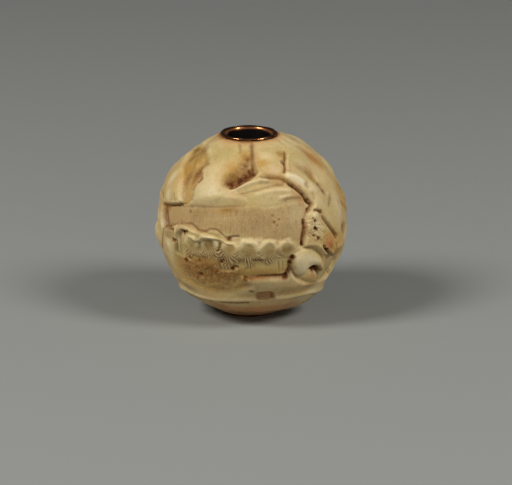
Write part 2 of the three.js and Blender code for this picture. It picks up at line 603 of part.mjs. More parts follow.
// One eyelet with its lip's face at height zero and its sleeve pointing down.
function eyelet() {
  const sleeveRadius = holeRadius + sleeveWall;
  const outerCentre = lipRadius - edgeRadius;
  const innerCentre = outerCentre - lipFlat;
  const profile = [
    new THREE.Vector2(sleeveRadius, -sleeveDepth),
    new THREE.Vector2(sleeveRadius, -flareDepth),
    new THREE.Vector2(sleeveRadius + coneSpread, -2 * edgeRadius),
  ];
  for (let i = 0; i <= rollSteps; i++) {
    const turn = blend(-Math.PI / 2, Math.PI / 2, i / rollSteps);
    profile.push(new THREE.Vector2(outerCentre + edgeRadius * Math.cos(turn), edgeRadius * (Math.sin(turn) - 1)));
  }
  for (let i = 0; i < rollSteps; i++) {
    const turn = blend(Math.PI / 2, mouthSlope, i / rollSteps);
    profile.push(new THREE.Vector2(innerCentre - mouthRadius * Math.cos(turn), mouthRadius * (Math.sin(turn) - 1)));
  }
  const mouthStart = innerCentre - mouthRadius * Math.cos(mouthSlope);
  const mouthTop = mouthRadius * (Math.sin(mouthSlope) - 1);
  for (let i = 0; i <= flareSteps; i++) {
    const along = i / flareSteps;
    const inward = 1 - (1 - along) ** 1.4;
    profile.push(new THREE.Vector2(blend(mouthStart, holeRadius, inward), blend(mouthTop, -flareDepth, along)));
  }
  profile.push(new THREE.Vector2(holeRadius, -sleeveDepth), profile[0].clone());
  return new THREE.LatheGeometry(profile, eyeletColumns).rotateX(Math.PI / 2);
}

const ivory = new THREE.MeshStandardMaterial({ color: 0xd8c59b, roughness: 0.4, metalness: 0 });
const giltCopper = new THREE.MeshStandardMaterial({ color: 0x9a6238, roughness: 0.3, metalness: 1 });

function piece(name, geometry, material) {
  const mesh = new THREE.Mesh(geometry, material);
  mesh.name = name;
  return mesh;
}

const bead = new THREE.Group();
bead.add(piece("carved_body", carvedBody(), ivory));

const topEyelet = piece("top_eyelet", eyelet(), giltCopper);
topEyelet.position.z = 2 * halfHeight;
const bottomEyelet = piece("bottom_eyelet", eyelet(), giltCopper);
bottomEyelet.rotation.x = Math.PI;
bead.add(topEyelet, bottomEyelet);

export default bead;
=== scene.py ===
import math
import bpy
import numpy as np
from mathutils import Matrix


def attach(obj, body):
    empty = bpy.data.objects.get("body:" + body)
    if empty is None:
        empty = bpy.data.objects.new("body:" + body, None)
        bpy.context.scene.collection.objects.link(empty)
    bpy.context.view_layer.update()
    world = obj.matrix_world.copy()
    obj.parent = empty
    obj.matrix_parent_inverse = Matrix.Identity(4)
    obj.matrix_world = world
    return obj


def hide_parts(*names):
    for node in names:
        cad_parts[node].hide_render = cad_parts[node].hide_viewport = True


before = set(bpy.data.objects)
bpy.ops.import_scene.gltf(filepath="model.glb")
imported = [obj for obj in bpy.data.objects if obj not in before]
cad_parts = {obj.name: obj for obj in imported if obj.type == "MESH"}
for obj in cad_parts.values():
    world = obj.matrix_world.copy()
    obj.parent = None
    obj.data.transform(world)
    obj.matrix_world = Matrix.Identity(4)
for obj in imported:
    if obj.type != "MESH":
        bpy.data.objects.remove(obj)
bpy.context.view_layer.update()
bpy.ops.object.select_all(action="DESELECT")
print("frame loaded")

# The ball as the carver knows it. Depths and widths are millimetres, places are shares of its radius.
mm = 0.001
ball = {
    "radius": 8.0,
    "lean": 0.26,        # the carved mass leans this far to the right of the cord hole
    "centreUp": 7.8,
    "tip": 16.5,         # front and back are carved as seen from this many degrees above
    "cells": 95,         # quads along each edge of the starting cube
    "fineWidth": 0.88,   # the front's mesh is finer out to here, in shares of the radius
    "fineHeight": 0.66,
    "evenings": 60,      # rounds of averaging for the worn and the sheltered places
    "flat": 0.14,        # the ball is a little flattened round each eyelet
    "landRadius": 2.41,  # plain ring round each eyelet
    "fade": 0.5,         # the carving dies out over this distance towards it
    "collarWidth": 1.5,  # over this distance the ivory comes level with the eyelet's lip
    "lipSink": 0.18,     # and meets it this far below its face
    "collarDepth": 1.5,  # nothing lower than this under the lip is moved
    "seatGap": 0.03,     # play of an eyelet in its seat, its countersink and the bore
    "boreColumns": 72,
    "cutStain": 0.78,    # share of its stain that a cut takes on
    "drillHalo": 1.6,    # a hole's stain ends this many hole radii out
    "backEnd": -0.24,    # the back's scene is whole up to here, measured towards the front,
    "backFade": 0.1,     # and gives way to the front's over this distance
    "flankEnd": -0.18,   # the same for what the flanks' scenes add
    "flankFade": 0.14,
    "lineSteps": 5,      # pieces of a smooth line between two of its places
}


def smooth(share):
    s = np.clip(share, 0, 1)
    return s * s * (3 - 2 * s)


def sideOf(azimuth, elevation):  # one side of the ball, turned about the hole and then tipped up
    a, e = math.radians(azimuth), math.radians(elevation)
    return {
        "right": np.array([math.cos(a), math.sin(a), 0]),
        "up": np.array([-math.sin(a) * math.sin(e), math.cos(a) * math.sin(e), math.cos(e)]),
        "out": np.array([math.sin(a) * math.cos(e), -math.cos(a) * math.cos(e), math.sin(e)]),
    }


front = sideOf(0, ball["tip"])
rightSide = sideOf(104, 0)
back = sideOf(180, ball["tip"])
leftSide = sideOf(256, 0)


def directions(places):
    return places / np.linalg.norm(places, axis=1)[:, None]


def onBall(side, shares):  # shares of the radius to the right and up, as places on the ball
    uv = np.array(shares, dtype=float).reshape(-1, 2)
    w = np.sqrt(np.clip(1 - (uv ** 2).sum(axis=1), 0, 1))
    return directions(uv[:, :1] * side["right"] + uv[:, 1:] * side["up"] + w[:, None] * side["out"])


def lineThrough(side, shares, closed=False):  # a smooth line on the ball through the places
    p = onBall(side, shares)
    if len(p) == 1:
        return np.vstack([p, p])
    if closed:
        p = np.vstack([p[-1:], p, p[:2]])
    else:
        p = np.vstack([2 * p[:1] - p[1:2], p, 2 * p[-1:] - p[-2:-1]])
    line = []
    for i in range(1, len(p) - 2):
        for t in np.arange(ball["lineSteps"]) / ball["lineSteps"]:
            a, b = p[i + 1] - p[i - 1], p[i + 2] - p[i]
            d = p[i + 1] - p[i]
            line.append(p[i] + t * a / 2 + t * t * (3 * d - a - b / 2) + t ** 3 * ((a + b) / 2 - 2 * d))
    return directions(np.array(line + [p[-2]]))


def lineRound(level, waver, waves, turn=0.0):  # a level line all round that wavers up and down
    t = np.linspace(0, 2 * math.pi, 121)
    up = level + waver * np.sin(waves * t + turn)
    across = np.sqrt(1 - up ** 2)
    return np.stack([across * np.sin(t), -across * np.cos(t), up], axis=1)


def reachTo(line, places):  # distance in mm, and how far along the line, from 0 to 1
    best = np.full(len(places), 9.0)
    along = np.zeros(len(places))
    for i in range(len(line) - 1):
        step = line[i + 1] - line[i]
        t = np.clip(((places - line[i]) @ step) / max(step @ step, 1e-12), 0, 1)
        gap = np.linalg.norm(places - line[i] - t[:, None] * step, axis=1)
        closer = gap < best
        best[closer] = gap[closer]
        along[closer] = (i + t[closer]) / (len(line) - 1)
    return best * ball["radius"], along


def nearTo(field, line, reach):  # numbers of the places that a cut along the line can touch
    middle = line.mean(axis=0)
    far = np.linalg.norm(line - middle, axis=1).max() + reach / ball["radius"]
    return np.nonzero(np.linalg.norm(field["places"] - middle, axis=1) < far)[0]


def insideReach(field, side, outline, reach):  # distance in from a closed outline, below zero outside it
    near = nearTo(field, outline, reach)
    places = field["places"][near]
    gap, _ = reachTo(outline, places)
    u, v = places @ side["right"], places @ side["up"]
    ou, ov = outline @ side["right"], outline @ side["up"]
    inside = np.zeros(len(places), dtype=bool)
    for i in range(len(outline) - 1):
        crosses = (ov[i] > v) != (ov[i + 1] > v)
        if ov[i] != ov[i + 1]:
            crosses &= u < (ou[i + 1] - ou[i]) * (v - ov[i]) / (ov[i + 1] - ov[i]) + ou[i]
            inside ^= crosses
    inside &= places @ side["out"] > 0
    return near, np.where(inside, gap, -gap)


def makeField(places):  # the relief and the colours, old stains and some painted light and shade among them, a number for each place on the ball
    field = {"places": places}
    for name in ("height", "stain", "ochre", "pale", "ruddy", "olive", "hatch", "needle", "fan"):
        field[name] = np.zeros(len(places))
    return field


def wobble(places, size, seed):  # a smooth random field about zero, with lumps about this many mm across
    rng = np.random.default_rng(seed)
    total = np.zeros(len(places))
    for _ in range(14):
        wave = rng.normal(size=3)
        wave *= 2 * math.pi * ball["radius"] / size * rng.uniform(0.7, 1.3) / np.linalg.norm(wave)
        total += np.sin(places @ wave + rng.uniform(0, 2 * math.pi))
    return total / math.sqrt(7)


def within(field, side, outline, edge):  # places in an outline, their way in, and a share soft at its edge
    line = lineThrough(side, outline, closed=True)
    near, inside = insideReach(field, side, line, edge)
    return near, inside, smooth(inside / edge + 0.5)


def inOval(field, side, place, size, stretch, turn):  # places in an oval, and how far out in it they lie
    rel = field["places"] - onBall(side, [place])[0]
    a = math.radians(turn)
    x, y, deep = rel @ side["right"], rel @ side["up"], rel @ side["out"]
    along, over = x * math.cos(a) + y * math.sin(a), y * math.cos(a) - x * math.sin(a)
    gap = np.sqrt((along / stretch) ** 2 + over ** 2 + deep ** 2) * ball["radius"] / (size / 2)
    near = np.nonzero(gap < 1)[0]
    return near, gap[near]


def softEnds(along, taper):  # a stroke starts and ends softly over this share of its length
    return smooth(np.minimum(along, 1 - along) / taper) if taper > 0 else 1.0


# The carver's strokes. Each takes the ground as it is and changes it near its own line or outline.
def shelf(field, side, depth, outline, edge=0.2, stain=0.0, ochre=0.0):  # level ground at one depth
    near, _, share = within(field, side, outline, edge)
    height = field["height"][near]
    field["height"][near] = height + (-depth - height) * share
    field["stain"][near] = np.maximum(field["stain"][near] * (1 - share), stain * share)
    field["ochre"][near] = field["ochre"][near] * (1 - share) + ochre * share


def mound(field, side, foot, crown, outline, shoulder=1.2, edge=0.2, clean=True, soft=0.06):
    # rises from the depth of its foot to that of its crown over the width of its shoulder
    near, inside, share = within(field, side, outline, edge)
    rise = 1 - np.clip(inside / shoulder, 0, 1)
    height = field["height"][near]
    top = -foot + (foot - crown) * np.sqrt(1 - rise ** 2)
    top = (height + top + np.sqrt((height - top) ** 2 + soft ** 2)) / 2  # the higher of the two, worn soft
    field["height"][near] = height + (top - height) * share
    if clean:
        for name in ("stain", "ochre"):
            field[name][near] *= 1 - share


def cut(field, line, width, depth, stain=0.8, spread=1.5, taper=0.12, sharp=1.0):  # its stain spreads past it
    near = nearTo(field, line, width * spread)
    gap, along = reachTo(line, field["places"][near])
    ends = softEnds(along, taper)
    profile = smooth(1 - 2 * gap / width) ** sharp
    field["height"][near] -= depth * profile * ends
    halo = smooth(1 - 2 * gap / (width * spread)) * ends
    field["stain"][near] = np.maximum(field["stain"][near], ball["cutStain"] * stain * halo)


def ridge(field, line, width, rise, pale=0.3, taper=0.12):  # a soft raised line, worn pale
    near = nearTo(field, line, width)
    gap, along = reachTo(line, field["places"][near])
    profile = smooth(1 - 2 * gap / width) * softEnds(along, taper)
    field["height"][near] += rise * profile
    field["stain"][near] *= 1 - 0.8 * profile
    field["pale"][near] = np.maximum(field["pale"][near], pale * profile)


def drill(field, side, place, size, depth, stain=0.95):  # a round bottomed hole
    centre = onBall(side, [place])[0]
    gap = np.linalg.norm(field["places"] - centre, axis=1) * ball["radius"] / (size / 2)
    near = np.nonzero(gap < ball["drillHalo"])[0]
    field["height"][near] -= depth * np.sqrt(np.clip(1 - gap[near] ** 2, 0, 1))
    field["stain"][near] = np.maximum(field["stain"][near], stain * smooth(ball["drillHalo"] - gap[near]))


def boss(field, side, place, size, rise, turn=0.0, stretch=1.0, clean=0.8, pale=0.0):  # a soft swelling
    near, gap = inOval(field, side, place, size, stretch, turn)
    dome = (1 - gap ** 2) ** 2
    field["height"][near] += rise * dome
    field["stain"][near] *= 1 - clean * dome
    field["pale"][near] = np.maximum(field["pale"][near], pale * dome)


def dab(field, side, name, place, size, amount, stretch=1.0, turn=0.0):  # colour over a soft round patch: old stains and tone, and some painted light
    near, gap = inOval(field, side, place, size, stretch, turn)
    field[name][near] = np.maximum(field[name][near], amount * smooth(1 - gap))


def dabs(field, side, rows):  # name, place, size, amount, stretch and turn of each
    for row in rows:
        dab(field, side, *row)


def tint(field, side, name, amount, outline, edge=0.8):  # old colour rubbed in or worn off over an outline
    near, _, share = within(field, side, outline, edge)
    field[name][near] += (amount - field[name][near]) * share


def hatching(field, side, outline):  # where the ground is scratched upright
    near, _, share = within(field, side, outline, 0.5)
    field["hatch"][near] = np.maximum(field["hatch"][near], share)


def rough(field, side, size, depth, outline, edge=0.6, seed=1, stain=0.35):  # broken ground with creases
    near, _, share = within(field, side, outline, edge)
    places = field["places"][near]
    lumps = np.abs(wobble(places, size * 2, seed)) * 0.6 + np.abs(wobble(places, size, seed + 1)) * 0.4
    field["height"][near] += depth * (np.minimum(lumps, 1.2) - 0.6) * share
    crease = smooth(1 - lumps / 0.34)
    field["stain"][near] = np.maximum(field["stain"][near], stain * crease * share)


def pine(field, side, place, size, rise=0.2, reach=1.7, fan=80, turn=0, dark=0.45, bright=0.5, seed=1):
    # a clump of needles: a raised rim, painted bright on its upper arc as a highlight, arched over a sunk
    # core painted dark as shade, with strokes fanning out below it
    centre = onBall(side, [place])[0]
    rel = field["places"] - centre
    near = np.nonzero(np.linalg.norm(rel, axis=1) * ball["radius"] < size * reach * 0.6)[0]
    rel = rel[near]
    right = np.cross(side["up"], centre)
    right /= np.linalg.norm(right)
    up = np.cross(centre, right)
    uneven = wobble(field["places"][near], 1.6, seed + 40)
    lumps = wobble(field["places"][near], 0.8, seed + 60)
    x, y = rel @ right * ball["radius"] + 0.06 * uneven, rel @ up * ball["radius"]
    gap = np.hypot(x, y * 1.08) / (size / 2) * (1 + 0.05 * uneven + 0.05 * lumps)
    angle = np.degrees(np.arctan2(x, -y)) - turn  # 0 points down
    upper = smooth((np.abs(angle) - 45) / 70)
    down = smooth((fan - np.abs(angle)) / 40)
    body = smooth((1.12 - gap) / 0.3)
    dome = np.sqrt(np.clip(1 - (gap / 1.12) ** 2, 0, 1))
    rim = smooth(1 - np.abs(gap - 0.74) / 0.4) * upper
    core = smooth(1 - np.hypot(x * 0.85, y + 0.16 * size) / (0.46 * size)) * (0.8 + 0.2 * lumps)
    clump = rise * (0.7 * dome + 0.3 * rim) * (0.45 + 0.55 * body)
    field["height"][near] += clump - 0.08 * core + 0.012 * lumps * body
    lengths = 0.16 * np.cos(np.radians(angle) * 5 + seed) + 0.1 * uneven
    skirt = smooth((gap - 0.45) / 0.35) * smooth((reach - 0.15 + lengths - gap) / 0.5) * down
    strands = np.radians(angle) * size * 0.55 / 0.2 + 0.22 * lumps
    strokes = np.maximum(skirt, 0.4 * body * smooth((gap - 0.35) / 0.3))
    field["height"][near] += 0.35 * rise * skirt * (1 - body) + 0.03 * np.sin(strands * 2 * math.pi) * skirt
    mine = strokes > field["fan"][near] * (1 - body)
    field["needle"][near] = np.where(mine, strands, field["needle"][near])
    field["fan"][near] = np.where(mine, strokes, field["fan"][near] * (1 - body))
    # painted shade darkens the sunk core, kept with the stain already there and the brown ground under the
    # needles
    shadeAndStain = np.maximum(field["stain"][near] * (1 - body), dark * core)
    shadeAndStain = np.maximum(shadeAndStain, 0.36 * skirt * (1 - 0.6 * body))
    field["stain"][near] = shadeAndStain * (1 - 0.7 * rim)
    field["olive"][near] = np.maximum(field["olive"][near], smooth(1.25 - gap) * (1 - 0.8 * rim))
    # a painted highlight along the rim's upper arc
    glint = bright * rim * (0.85 + 0.15 * uneven)
    field["pale"][near] = np.maximum(field["pale"][near] * (1 - 0.8 * body), glint)


def placed(place, size, shape, mirror):  # an outline drawn in shares of half its size, set down on the ball
    half = size / 2 / ball["radius"]
    return [(place[0] + half * (-x if mirror else x), place[1] + half * y) for x, y in shape]


cloudShape = [(-1.03, 0.06), (-0.82, 0.53), (-0.47, 0.79), (0.0, 0.78), (0.59, 0.5), (0.91, 0.0),
    (0.85, -0.47), (0.40, -0.24), (0.06, -0.29), (-0.12, -0.59), (-0.59, -0.74), (-0.88, -0.47)]
cloudEye = [(0.0, -0.42), (0.22, -0.25), (0.48, -0.27), (0.66, -0.46), (0.72, -0.70)]
cloudHeart = [(0.0, -0.5), (0.28, -0.42), (0.55, -0.6), (0.58, -0.9), (0.24, -1.1), (-0.16, -1.0)]


def cloud(field, side, place, size, mirror):  # one scroll of a cloud, its eye and its soft middle
    def shape(points):
        return placed(place, size, points, mirror)

    foot, crown = 0.3, -0.12
    mound(field, side, foot, crown, shape(cloudShape), shoulder=size * 0.48, edge=0.18)
    mound(field, side, foot, crown + 0.2, shape(cloudHeart), shoulder=size * 0.2, edge=0.5)
    tint(field, side, "pale", 0.6, shape([(0.8 * x, 0.8 * y) for x, y in cloudShape]), edge=0.7)
    eye = lineThrough(side, shape(cloudEye))
    cut(field, eye, size * 0.17, size * 0.27, stain=0.95, spread=1.3, taper=0.14, sharp=0.7)
    around = lineThrough(side, shape([(-0.86, 0.62), (-1.12, 0.1), (-1.0, -0.5), (-0.7, -0.85)]))
    cut(field, around, 0.34, 0.3, stain=0.75, spread=1.4)


depths = {  # how deep the grounds of the scene lie under the ball's skin
    "sky": 0.46,
    "slope": 0.24,
    "pines": 0.4,
    "rocks": 0.3,
    "valley": 0.36,
}


def carveScene(field, side):  # the upper half of the scene: peaks, cliff, sky and what frames them
    def line(*shares):
        return lineThrough(side, shares)

    # the valley left of the mountain, with a low far ridge in it
    shelf(field, side, depths["valley"], [
        (-0.50, 0.80), (-0.46, 0.64), (-0.53, 0.54), (-0.53, 0.43), (-0.60, 0.36), (-0.66, 0.18),
        (-0.74, 0.18), (-0.745, 0.30), (-0.74, 0.45), (-0.74, 0.58), (-0.70, 0.68), (-0.60, 0.80)],
        edge=0.7, ochre=0.8)
    ridge(field, line((-0.57, 0.72), (-0.60, 0.60), (-0.585, 0.50), (-0.62, 0.38), (-0.69, 0.25)), 0.9,
        0.08, pale=0.0)
    dabs(field, side, (
        ("stain", (-0.69, 0.46), 1.5, 0.42, 2.6, 86), ("stain", (-0.575, 0.51), 1.5, 0.5, 2.2, 64),
        ("ochre", (-0.69, 0.58), 2.2, 1.1, 1.6, 80), ("ruddy", (-0.60, 0.45), 1.6, 0.35, 1.5, 80),
        ("stain", (-0.56, 0.66), 1.2, 0.3, 1.6, 20),
    ))
    # the slope under the cliff
    shelf(field, side, depths["slope"], [
        (-0.62, 0.14), (-0.42, 0.17), (-0.28, 0.26), (-0.22, 0.33), (-0.10, 0.38), (0.05, 0.45), (0.20, 0.46),
        (0.33, 0.43), (0.46, 0.36), (0.58, 0.27), (0.65, 0.17), (0.50, 0.10), (0.20, 0.08), (-0.20, 0.10)],
        edge=0.6)
    # the sky
    shelf(field, side, depths["sky"], [
        (-0.93, 0.17), (-0.84, 0.18), (-0.66, 0.165), (-0.50, 0.14), (-0.38, 0.135), (-0.20, 0.145),
        (0.0, 0.15), (0.18, 0.16), (0.35, 0.19), (0.45, 0.22), (0.56, 0.235), (0.61, 0.20), (0.61, 0.12),
        (0.585, 0.0), (0.57, -0.12), (0.55, -0.30), (0.45, -0.36), (0.20, -0.32), (-0.10, -0.28),
        (-0.30, -0.22), (-0.45, -0.15), (-0.62, -0.10), (-0.75, -0.04), (-0.93, -0.06)], edge=0.3)
    shelf(field, side, depths["sky"], [
        (-0.06, 0.15), (0.10, 0.19), (0.28, 0.225), (0.45, 0.25), (0.58, 0.22), (0.57, 0.0), (0.30, -0.1),
        (0.0, -0.05)], edge=1.5)
    # the far peak on the left, over the sky's edge
    mound(field, side, 0.34, -0.2, [
        (-0.80, 0.68), (-0.74, 0.60), (-0.735, 0.45), (-0.74, 0.30), (-0.735, 0.19), (-0.84, 0.18),
        (-0.93, 0.18), (-0.985, 0.22), (-0.97, 0.40), (-0.90, 0.56)], shoulder=1.5, edge=0.2)
    dabs(field, side, (
        ("pale", (-0.86, 0.27), 1.6, 0.75, 1.4, 80), ("pale", (-0.82, 0.44), 1.6, 0.8, 2.0, 75),
        ("stain", (-0.85, 0.55), 1.0, 0.12, 2.0, 60),
    ))
    cut(field, line((-0.93, 0.175), (-0.87, 0.168), (-0.80, 0.172), (-0.75, 0.18), (-0.69, 0.19)), 0.24, 0.16,
        stain=0.26, spread=2.0)
    for place in ((-0.925, 0.178), (-0.795, 0.173), (-0.755, 0.18)):
        drill(field, side, place, 0.3, 0.06, stain=0.4)
    cut(field, line((-0.925, 0.32), (-0.918, 0.28), (-0.915, 0.24)), 0.36, 0.16, stain=0.4)
    cut(field, line((-0.80, 0.30), (-0.80, 0.25), (-0.795, 0.20)), 0.22, 0.05, stain=0.25)
    # the mountain
    mound(field, side, depths["valley"], -0.06, [
        (-0.34, 0.80), (-0.41, 0.68), (-0.455, 0.61), (-0.525, 0.555), (-0.51, 0.50), (-0.53, 0.435),
        (-0.595, 0.37), (-0.62, 0.28), (-0.655, 0.165), (-0.50, 0.14), (-0.38, 0.137), (-0.20, 0.148),
        (-0.04, 0.18), (-0.12, 0.28), (-0.24, 0.335), (-0.29, 0.40), (-0.28, 0.48), (-0.18, 0.54),
        (-0.12, 0.60), (-0.11, 0.72), (-0.16, 0.82)], shoulder=1.9, edge=0.17, soft=0.16)
    tint(field, side, "pale", 0.04, [
        (-0.42, 0.60), (-0.34, 0.55), (-0.34, 0.43), (-0.38, 0.30), (-0.46, 0.20), (-0.60, 0.20),
        (-0.61, 0.30), (-0.55, 0.40), (-0.50, 0.45), (-0.48, 0.54)], edge=1.2)
    dab(field, side, "olive", (-0.30, 0.70), 3.4, 0.75, stretch=1.4, turn=10)
    dab(field, side, "olive", (-0.30, 0.22), 2.6, 0.25, stretch=1.8, turn=5)
    for scallop, width, depth, stain in (
        (((-0.44, 0.61), (-0.48, 0.575), (-0.53, 0.545)), 0.52, 0.15, 0.36),
        (((-0.515, 0.51), (-0.535, 0.46), (-0.56, 0.415)), 0.4, 0.11, 0.32),
        (((-0.50, 0.45), (-0.545, 0.42), (-0.585, 0.395)), 0.46, 0.13, 0.4),
        (((-0.58, 0.385), (-0.60, 0.36), (-0.63, 0.31)), 0.44, 0.11, 0.32),
        (((-0.62, 0.28), (-0.615, 0.25), (-0.64, 0.20)), 0.4, 0.1, 0.24),
    ):
        cut(field, line(*scallop), width, depth, stain=stain, spread=1.9)
    boss(field, side, (-0.50, 0.69), 2.4, 0.22, turn=60, stretch=1.3, clean=0.6)
    # the foot of the mountain runs out softly into the sky
    shelf(field, side, 0.34, [
        (-0.62, 0.17), (-0.45, 0.185), (-0.25, 0.19), (-0.05, 0.20), (0.08, 0.17), (0.06, 0.11),
        (-0.20, 0.095), (-0.45, 0.095), (-0.62, 0.11)], edge=1.1, ochre=0.3)
    cut(field, line((-0.66, 0.162), (-0.50, 0.142), (-0.38, 0.138), (-0.20, 0.146), (0.0, 0.15)), 0.3, 0.025,
        stain=0.3, spread=2.2, taper=0.2)
    dab(field, side, "ochre", (-0.28, 0.115), 1.3, 0.9, stretch=4.0, turn=2)
    dab(field, side, "stain", (-0.25, 0.12), 0.8, 0.3, stretch=4.5, turn=2)
    # the hollow above the slope: soft where it leaves the mountain, sharp along the slope's rim
    for place, size, rise, stretch, turn in (
        ((-0.06, 0.66), 2.0, -0.2, 1.6, 84), ((-0.02, 0.53), 2.1, -0.44, 1.3, 65),
        ((-0.12, 0.455), 2.0, -0.42, 1.4, 35), ((-0.22, 0.405), 1.8, -0.46, 1.1, 20),
    ):
        boss(field, side, place, size, rise, turn=turn, stretch=stretch, clean=0)
    cut(field, line((0.045, 0.52), (0.02, 0.487), (-0.05, 0.442), (-0.13, 0.39), (-0.20, 0.355),
        (-0.25, 0.36)), 0.7, 0.3, stain=0.5, spread=1.3, taper=0.1)
    for place, size, amount, stretch, turn in (
        ((-0.235, 0.395), 1.5, 0.8, 1.2, 20), ((-0.22, 0.385), 0.8, 0.75, 1.5, 10),
        ((-0.14, 0.43), 1.6, 0.82, 1.7, 35), ((-0.01, 0.52), 1.5, 0.8, 1.6, 60),
        ((-0.03, 0.53), 0.9, 0.85, 1.4, 60), ((-0.04, 0.65), 1.2, 0.6, 2.2, 84),
        ((-0.07, 0.58), 1.6, 0.5, 1.5, 60), ((-0.17, 0.49), 1.5, 0.24, 1.8, 35),
        ((-0.07, 0.475), 1.5, 0.8, 1.5, 45),
    ):
        dab(field, side, "stain", place, size, amount, stretch, turn)
    dab(field, side, "ochre", (-0.20, 0.50), 3.0, 1.0, stretch=1.6, turn=40)
    dab(field, side, "ochre", (-0.07, 0.68), 2.2, 0.9, stretch=1.5, turn=84)
    # the cliff's blocks and the long arc that undercuts them
    mound(field, side, 0.3, -0.06, [
        (0.02, 0.735), (0.10, 0.75), (0.22, 0.745), (0.29, 0.72), (0.30, 0.62), (0.29, 0.53), (0.25, 0.47),
        (0.14, 0.455), (0.055, 0.48), (0.02, 0.55), (0.015, 0.64)], shoulder=1.2, edge=0.3)
    tint(field, side, "ochre", 0.12, [
        (0.05, 0.70), (0.20, 0.71), (0.25, 0.62), (0.25, 0.53), (0.14, 0.49), (0.07, 0.54)], edge=1.2)
    cut(field, line((-0.01, 0.86), (0.0, 0.76), (0.004, 0.66), (0.01, 0.58), (0.05, 0.485)), 0.55, 0.22,
        stain=0.3, taper=0.05, spread=2.2)
    cut(field, line((-0.12, 0.86), (-0.125, 0.78), (-0.12, 0.70)), 0.3, 0.08, stain=0.24, spread=2)
    cut(field, line((0.34, 0.75), (0.345, 0.66), (0.335, 0.60), (0.345, 0.54), (0.325, 0.475)), 0.44, 0.2,
        stain=0.28, spread=2.0)
    drill(field, side, (0.325, 0.60), 0.5, 0.1, stain=0.42)
    dab(field, side, "ochre", (0.30, 0.68), 1.6, 0.7, stretch=1.8, turn=88)
    dab(field, side, "stain", (0.295, 0.70), 1.0, 0.28, stretch=1.8, turn=88)
    ridge(field, line((0.375, 0.70), (0.37, 0.60), (0.38, 0.52)), 0.44, 0.06, pale=0.25)
    boss(field, side, (0.20, 0.55), 1.5, 0.06)
    dabs(field, side, (
        ("ruddy", (0.19, 0.52), 1.5, 0.25, 1.0, 0), ("ochre", (0.10, 0.585), 1.6, 0.9, 1.4, 10),
        ("pale", (0.15, 0.67), 1.6, 0.4, 1.3, 0), ("pale", (0.22, 0.52), 1.6, 0.4, 1.5, 0),
    ))
    # the smooth ground right of the cliff and the folds beside it
    for place, size, rise, stretch, turn in (
        ((0.49, 0.64), 3.2, 0.12, 1.3, -35), ((0.60, 0.70), 1.8, -0.14, 2.2, -50),
        ((0.73, 0.56), 2.4, 0.14, 1.3, -60), ((0.53, 0.535), 1.5, -0.14, 2.2, -25),
        ((0.635, 0.46), 1.4, -0.16, 1.8, -65), ((0.80, 0.46), 2.2, 0.1, 1.3, -70),
        ((0.42, 0.76), 2.0, 0.06, 1.6, -30),
    ):
        boss(field, side, place, size, rise, turn=turn, stretch=stretch, clean=0)
    dabs(field, side, (
        ("olive", (0.45, 0.66), 3.4, 0.9, 1.3, -40), ("ochre", (0.66, 0.63), 3.0, 0.9, 1.6, -50),
        ("ruddy", (0.62, 0.68), 2.4, 0.4, 1.6, -50), ("stain", (0.67, 0.62), 1.8, 0.2, 2.2, -50),
        ("stain", (0.55, 0.525), 1.4, 0.26, 2.2, -28), ("stain", (0.63, 0.47), 1.2, 0.3, 1.9, -65),
        ("ochre", (0.62, 0.49), 1.8, 0.8, 1.9, -50), ("pale", (0.52, 0.60), 1.8, 0.2, 1.4, -40),
    ))
    cut(field, line((0.04, 0.475), (0.12, 0.442), (0.22, 0.443), (0.32, 0.425), (0.42, 0.375),
        (0.48, 0.335), (0.55, 0.28), (0.60, 0.215), (0.632, 0.17), (0.612, 0.115), (0.60, 0.05)), 0.3, 0.05,
        stain=0.3, taper=0.12)
    ridge(field, line((0.05, 0.43), (0.15, 0.425), (0.25, 0.418), (0.34, 0.39)), 0.8, 0.12, pale=0.1)
    cut(field, line((0.25, 0.44), (0.32, 0.425), (0.42, 0.375), (0.48, 0.335), (0.55, 0.28), (0.60, 0.215),
        (0.632, 0.17), (0.612, 0.115), (0.60, 0.05)), 0.46, 0.14, stain=0.0, taper=0.3)
    cut(field, line((0.08, 0.45), (0.20, 0.443), (0.30, 0.427), (0.38, 0.395)), 0.4, 0.05, stain=0.4,
        taper=0.3, spread=2.0)
    cut(field, line((0.36, 0.397), (0.42, 0.37), (0.48, 0.33), (0.55, 0.275), (0.60, 0.215), (0.636, 0.175),
        (0.612, 0.115), (0.60, 0.05)), 0.3, 0.14, stain=0.62, spread=2.0, taper=0.1)
    for place in ((0.43, 0.365), (0.545, 0.28), (0.60, 0.225), (0.63, 0.18), (0.61, 0.125)):
        drill(field, side, place, 0.3, 0.05, stain=0.6)
    dab(field, side, "ochre", (0.30, 0.44), 2.0, 0.8, stretch=2.6, turn=-12)
    dab(field, side, "ruddy", (0.53, 0.25), 1.6, 0.5, stretch=1.5, turn=-45)
    # the cliff's bright ledge
    ridge(field, line((0.345, 0.47), (0.42, 0.458), (0.49, 0.43), (0.565, 0.375)), 0.95, 0.14, pale=0.8)
    tint(field, side, "pale", 1.0, [
        (0.35, 0.49), (0.46, 0.47), (0.55, 0.40), (0.55, 0.35), (0.47, 0.39), (0.36, 0.44)], edge=0.4)
    cut(field, line((0.545, 0.405), (0.565, 0.37), (0.60, 0.34)), 0.4, 0.05, stain=0.16, spread=1.8)
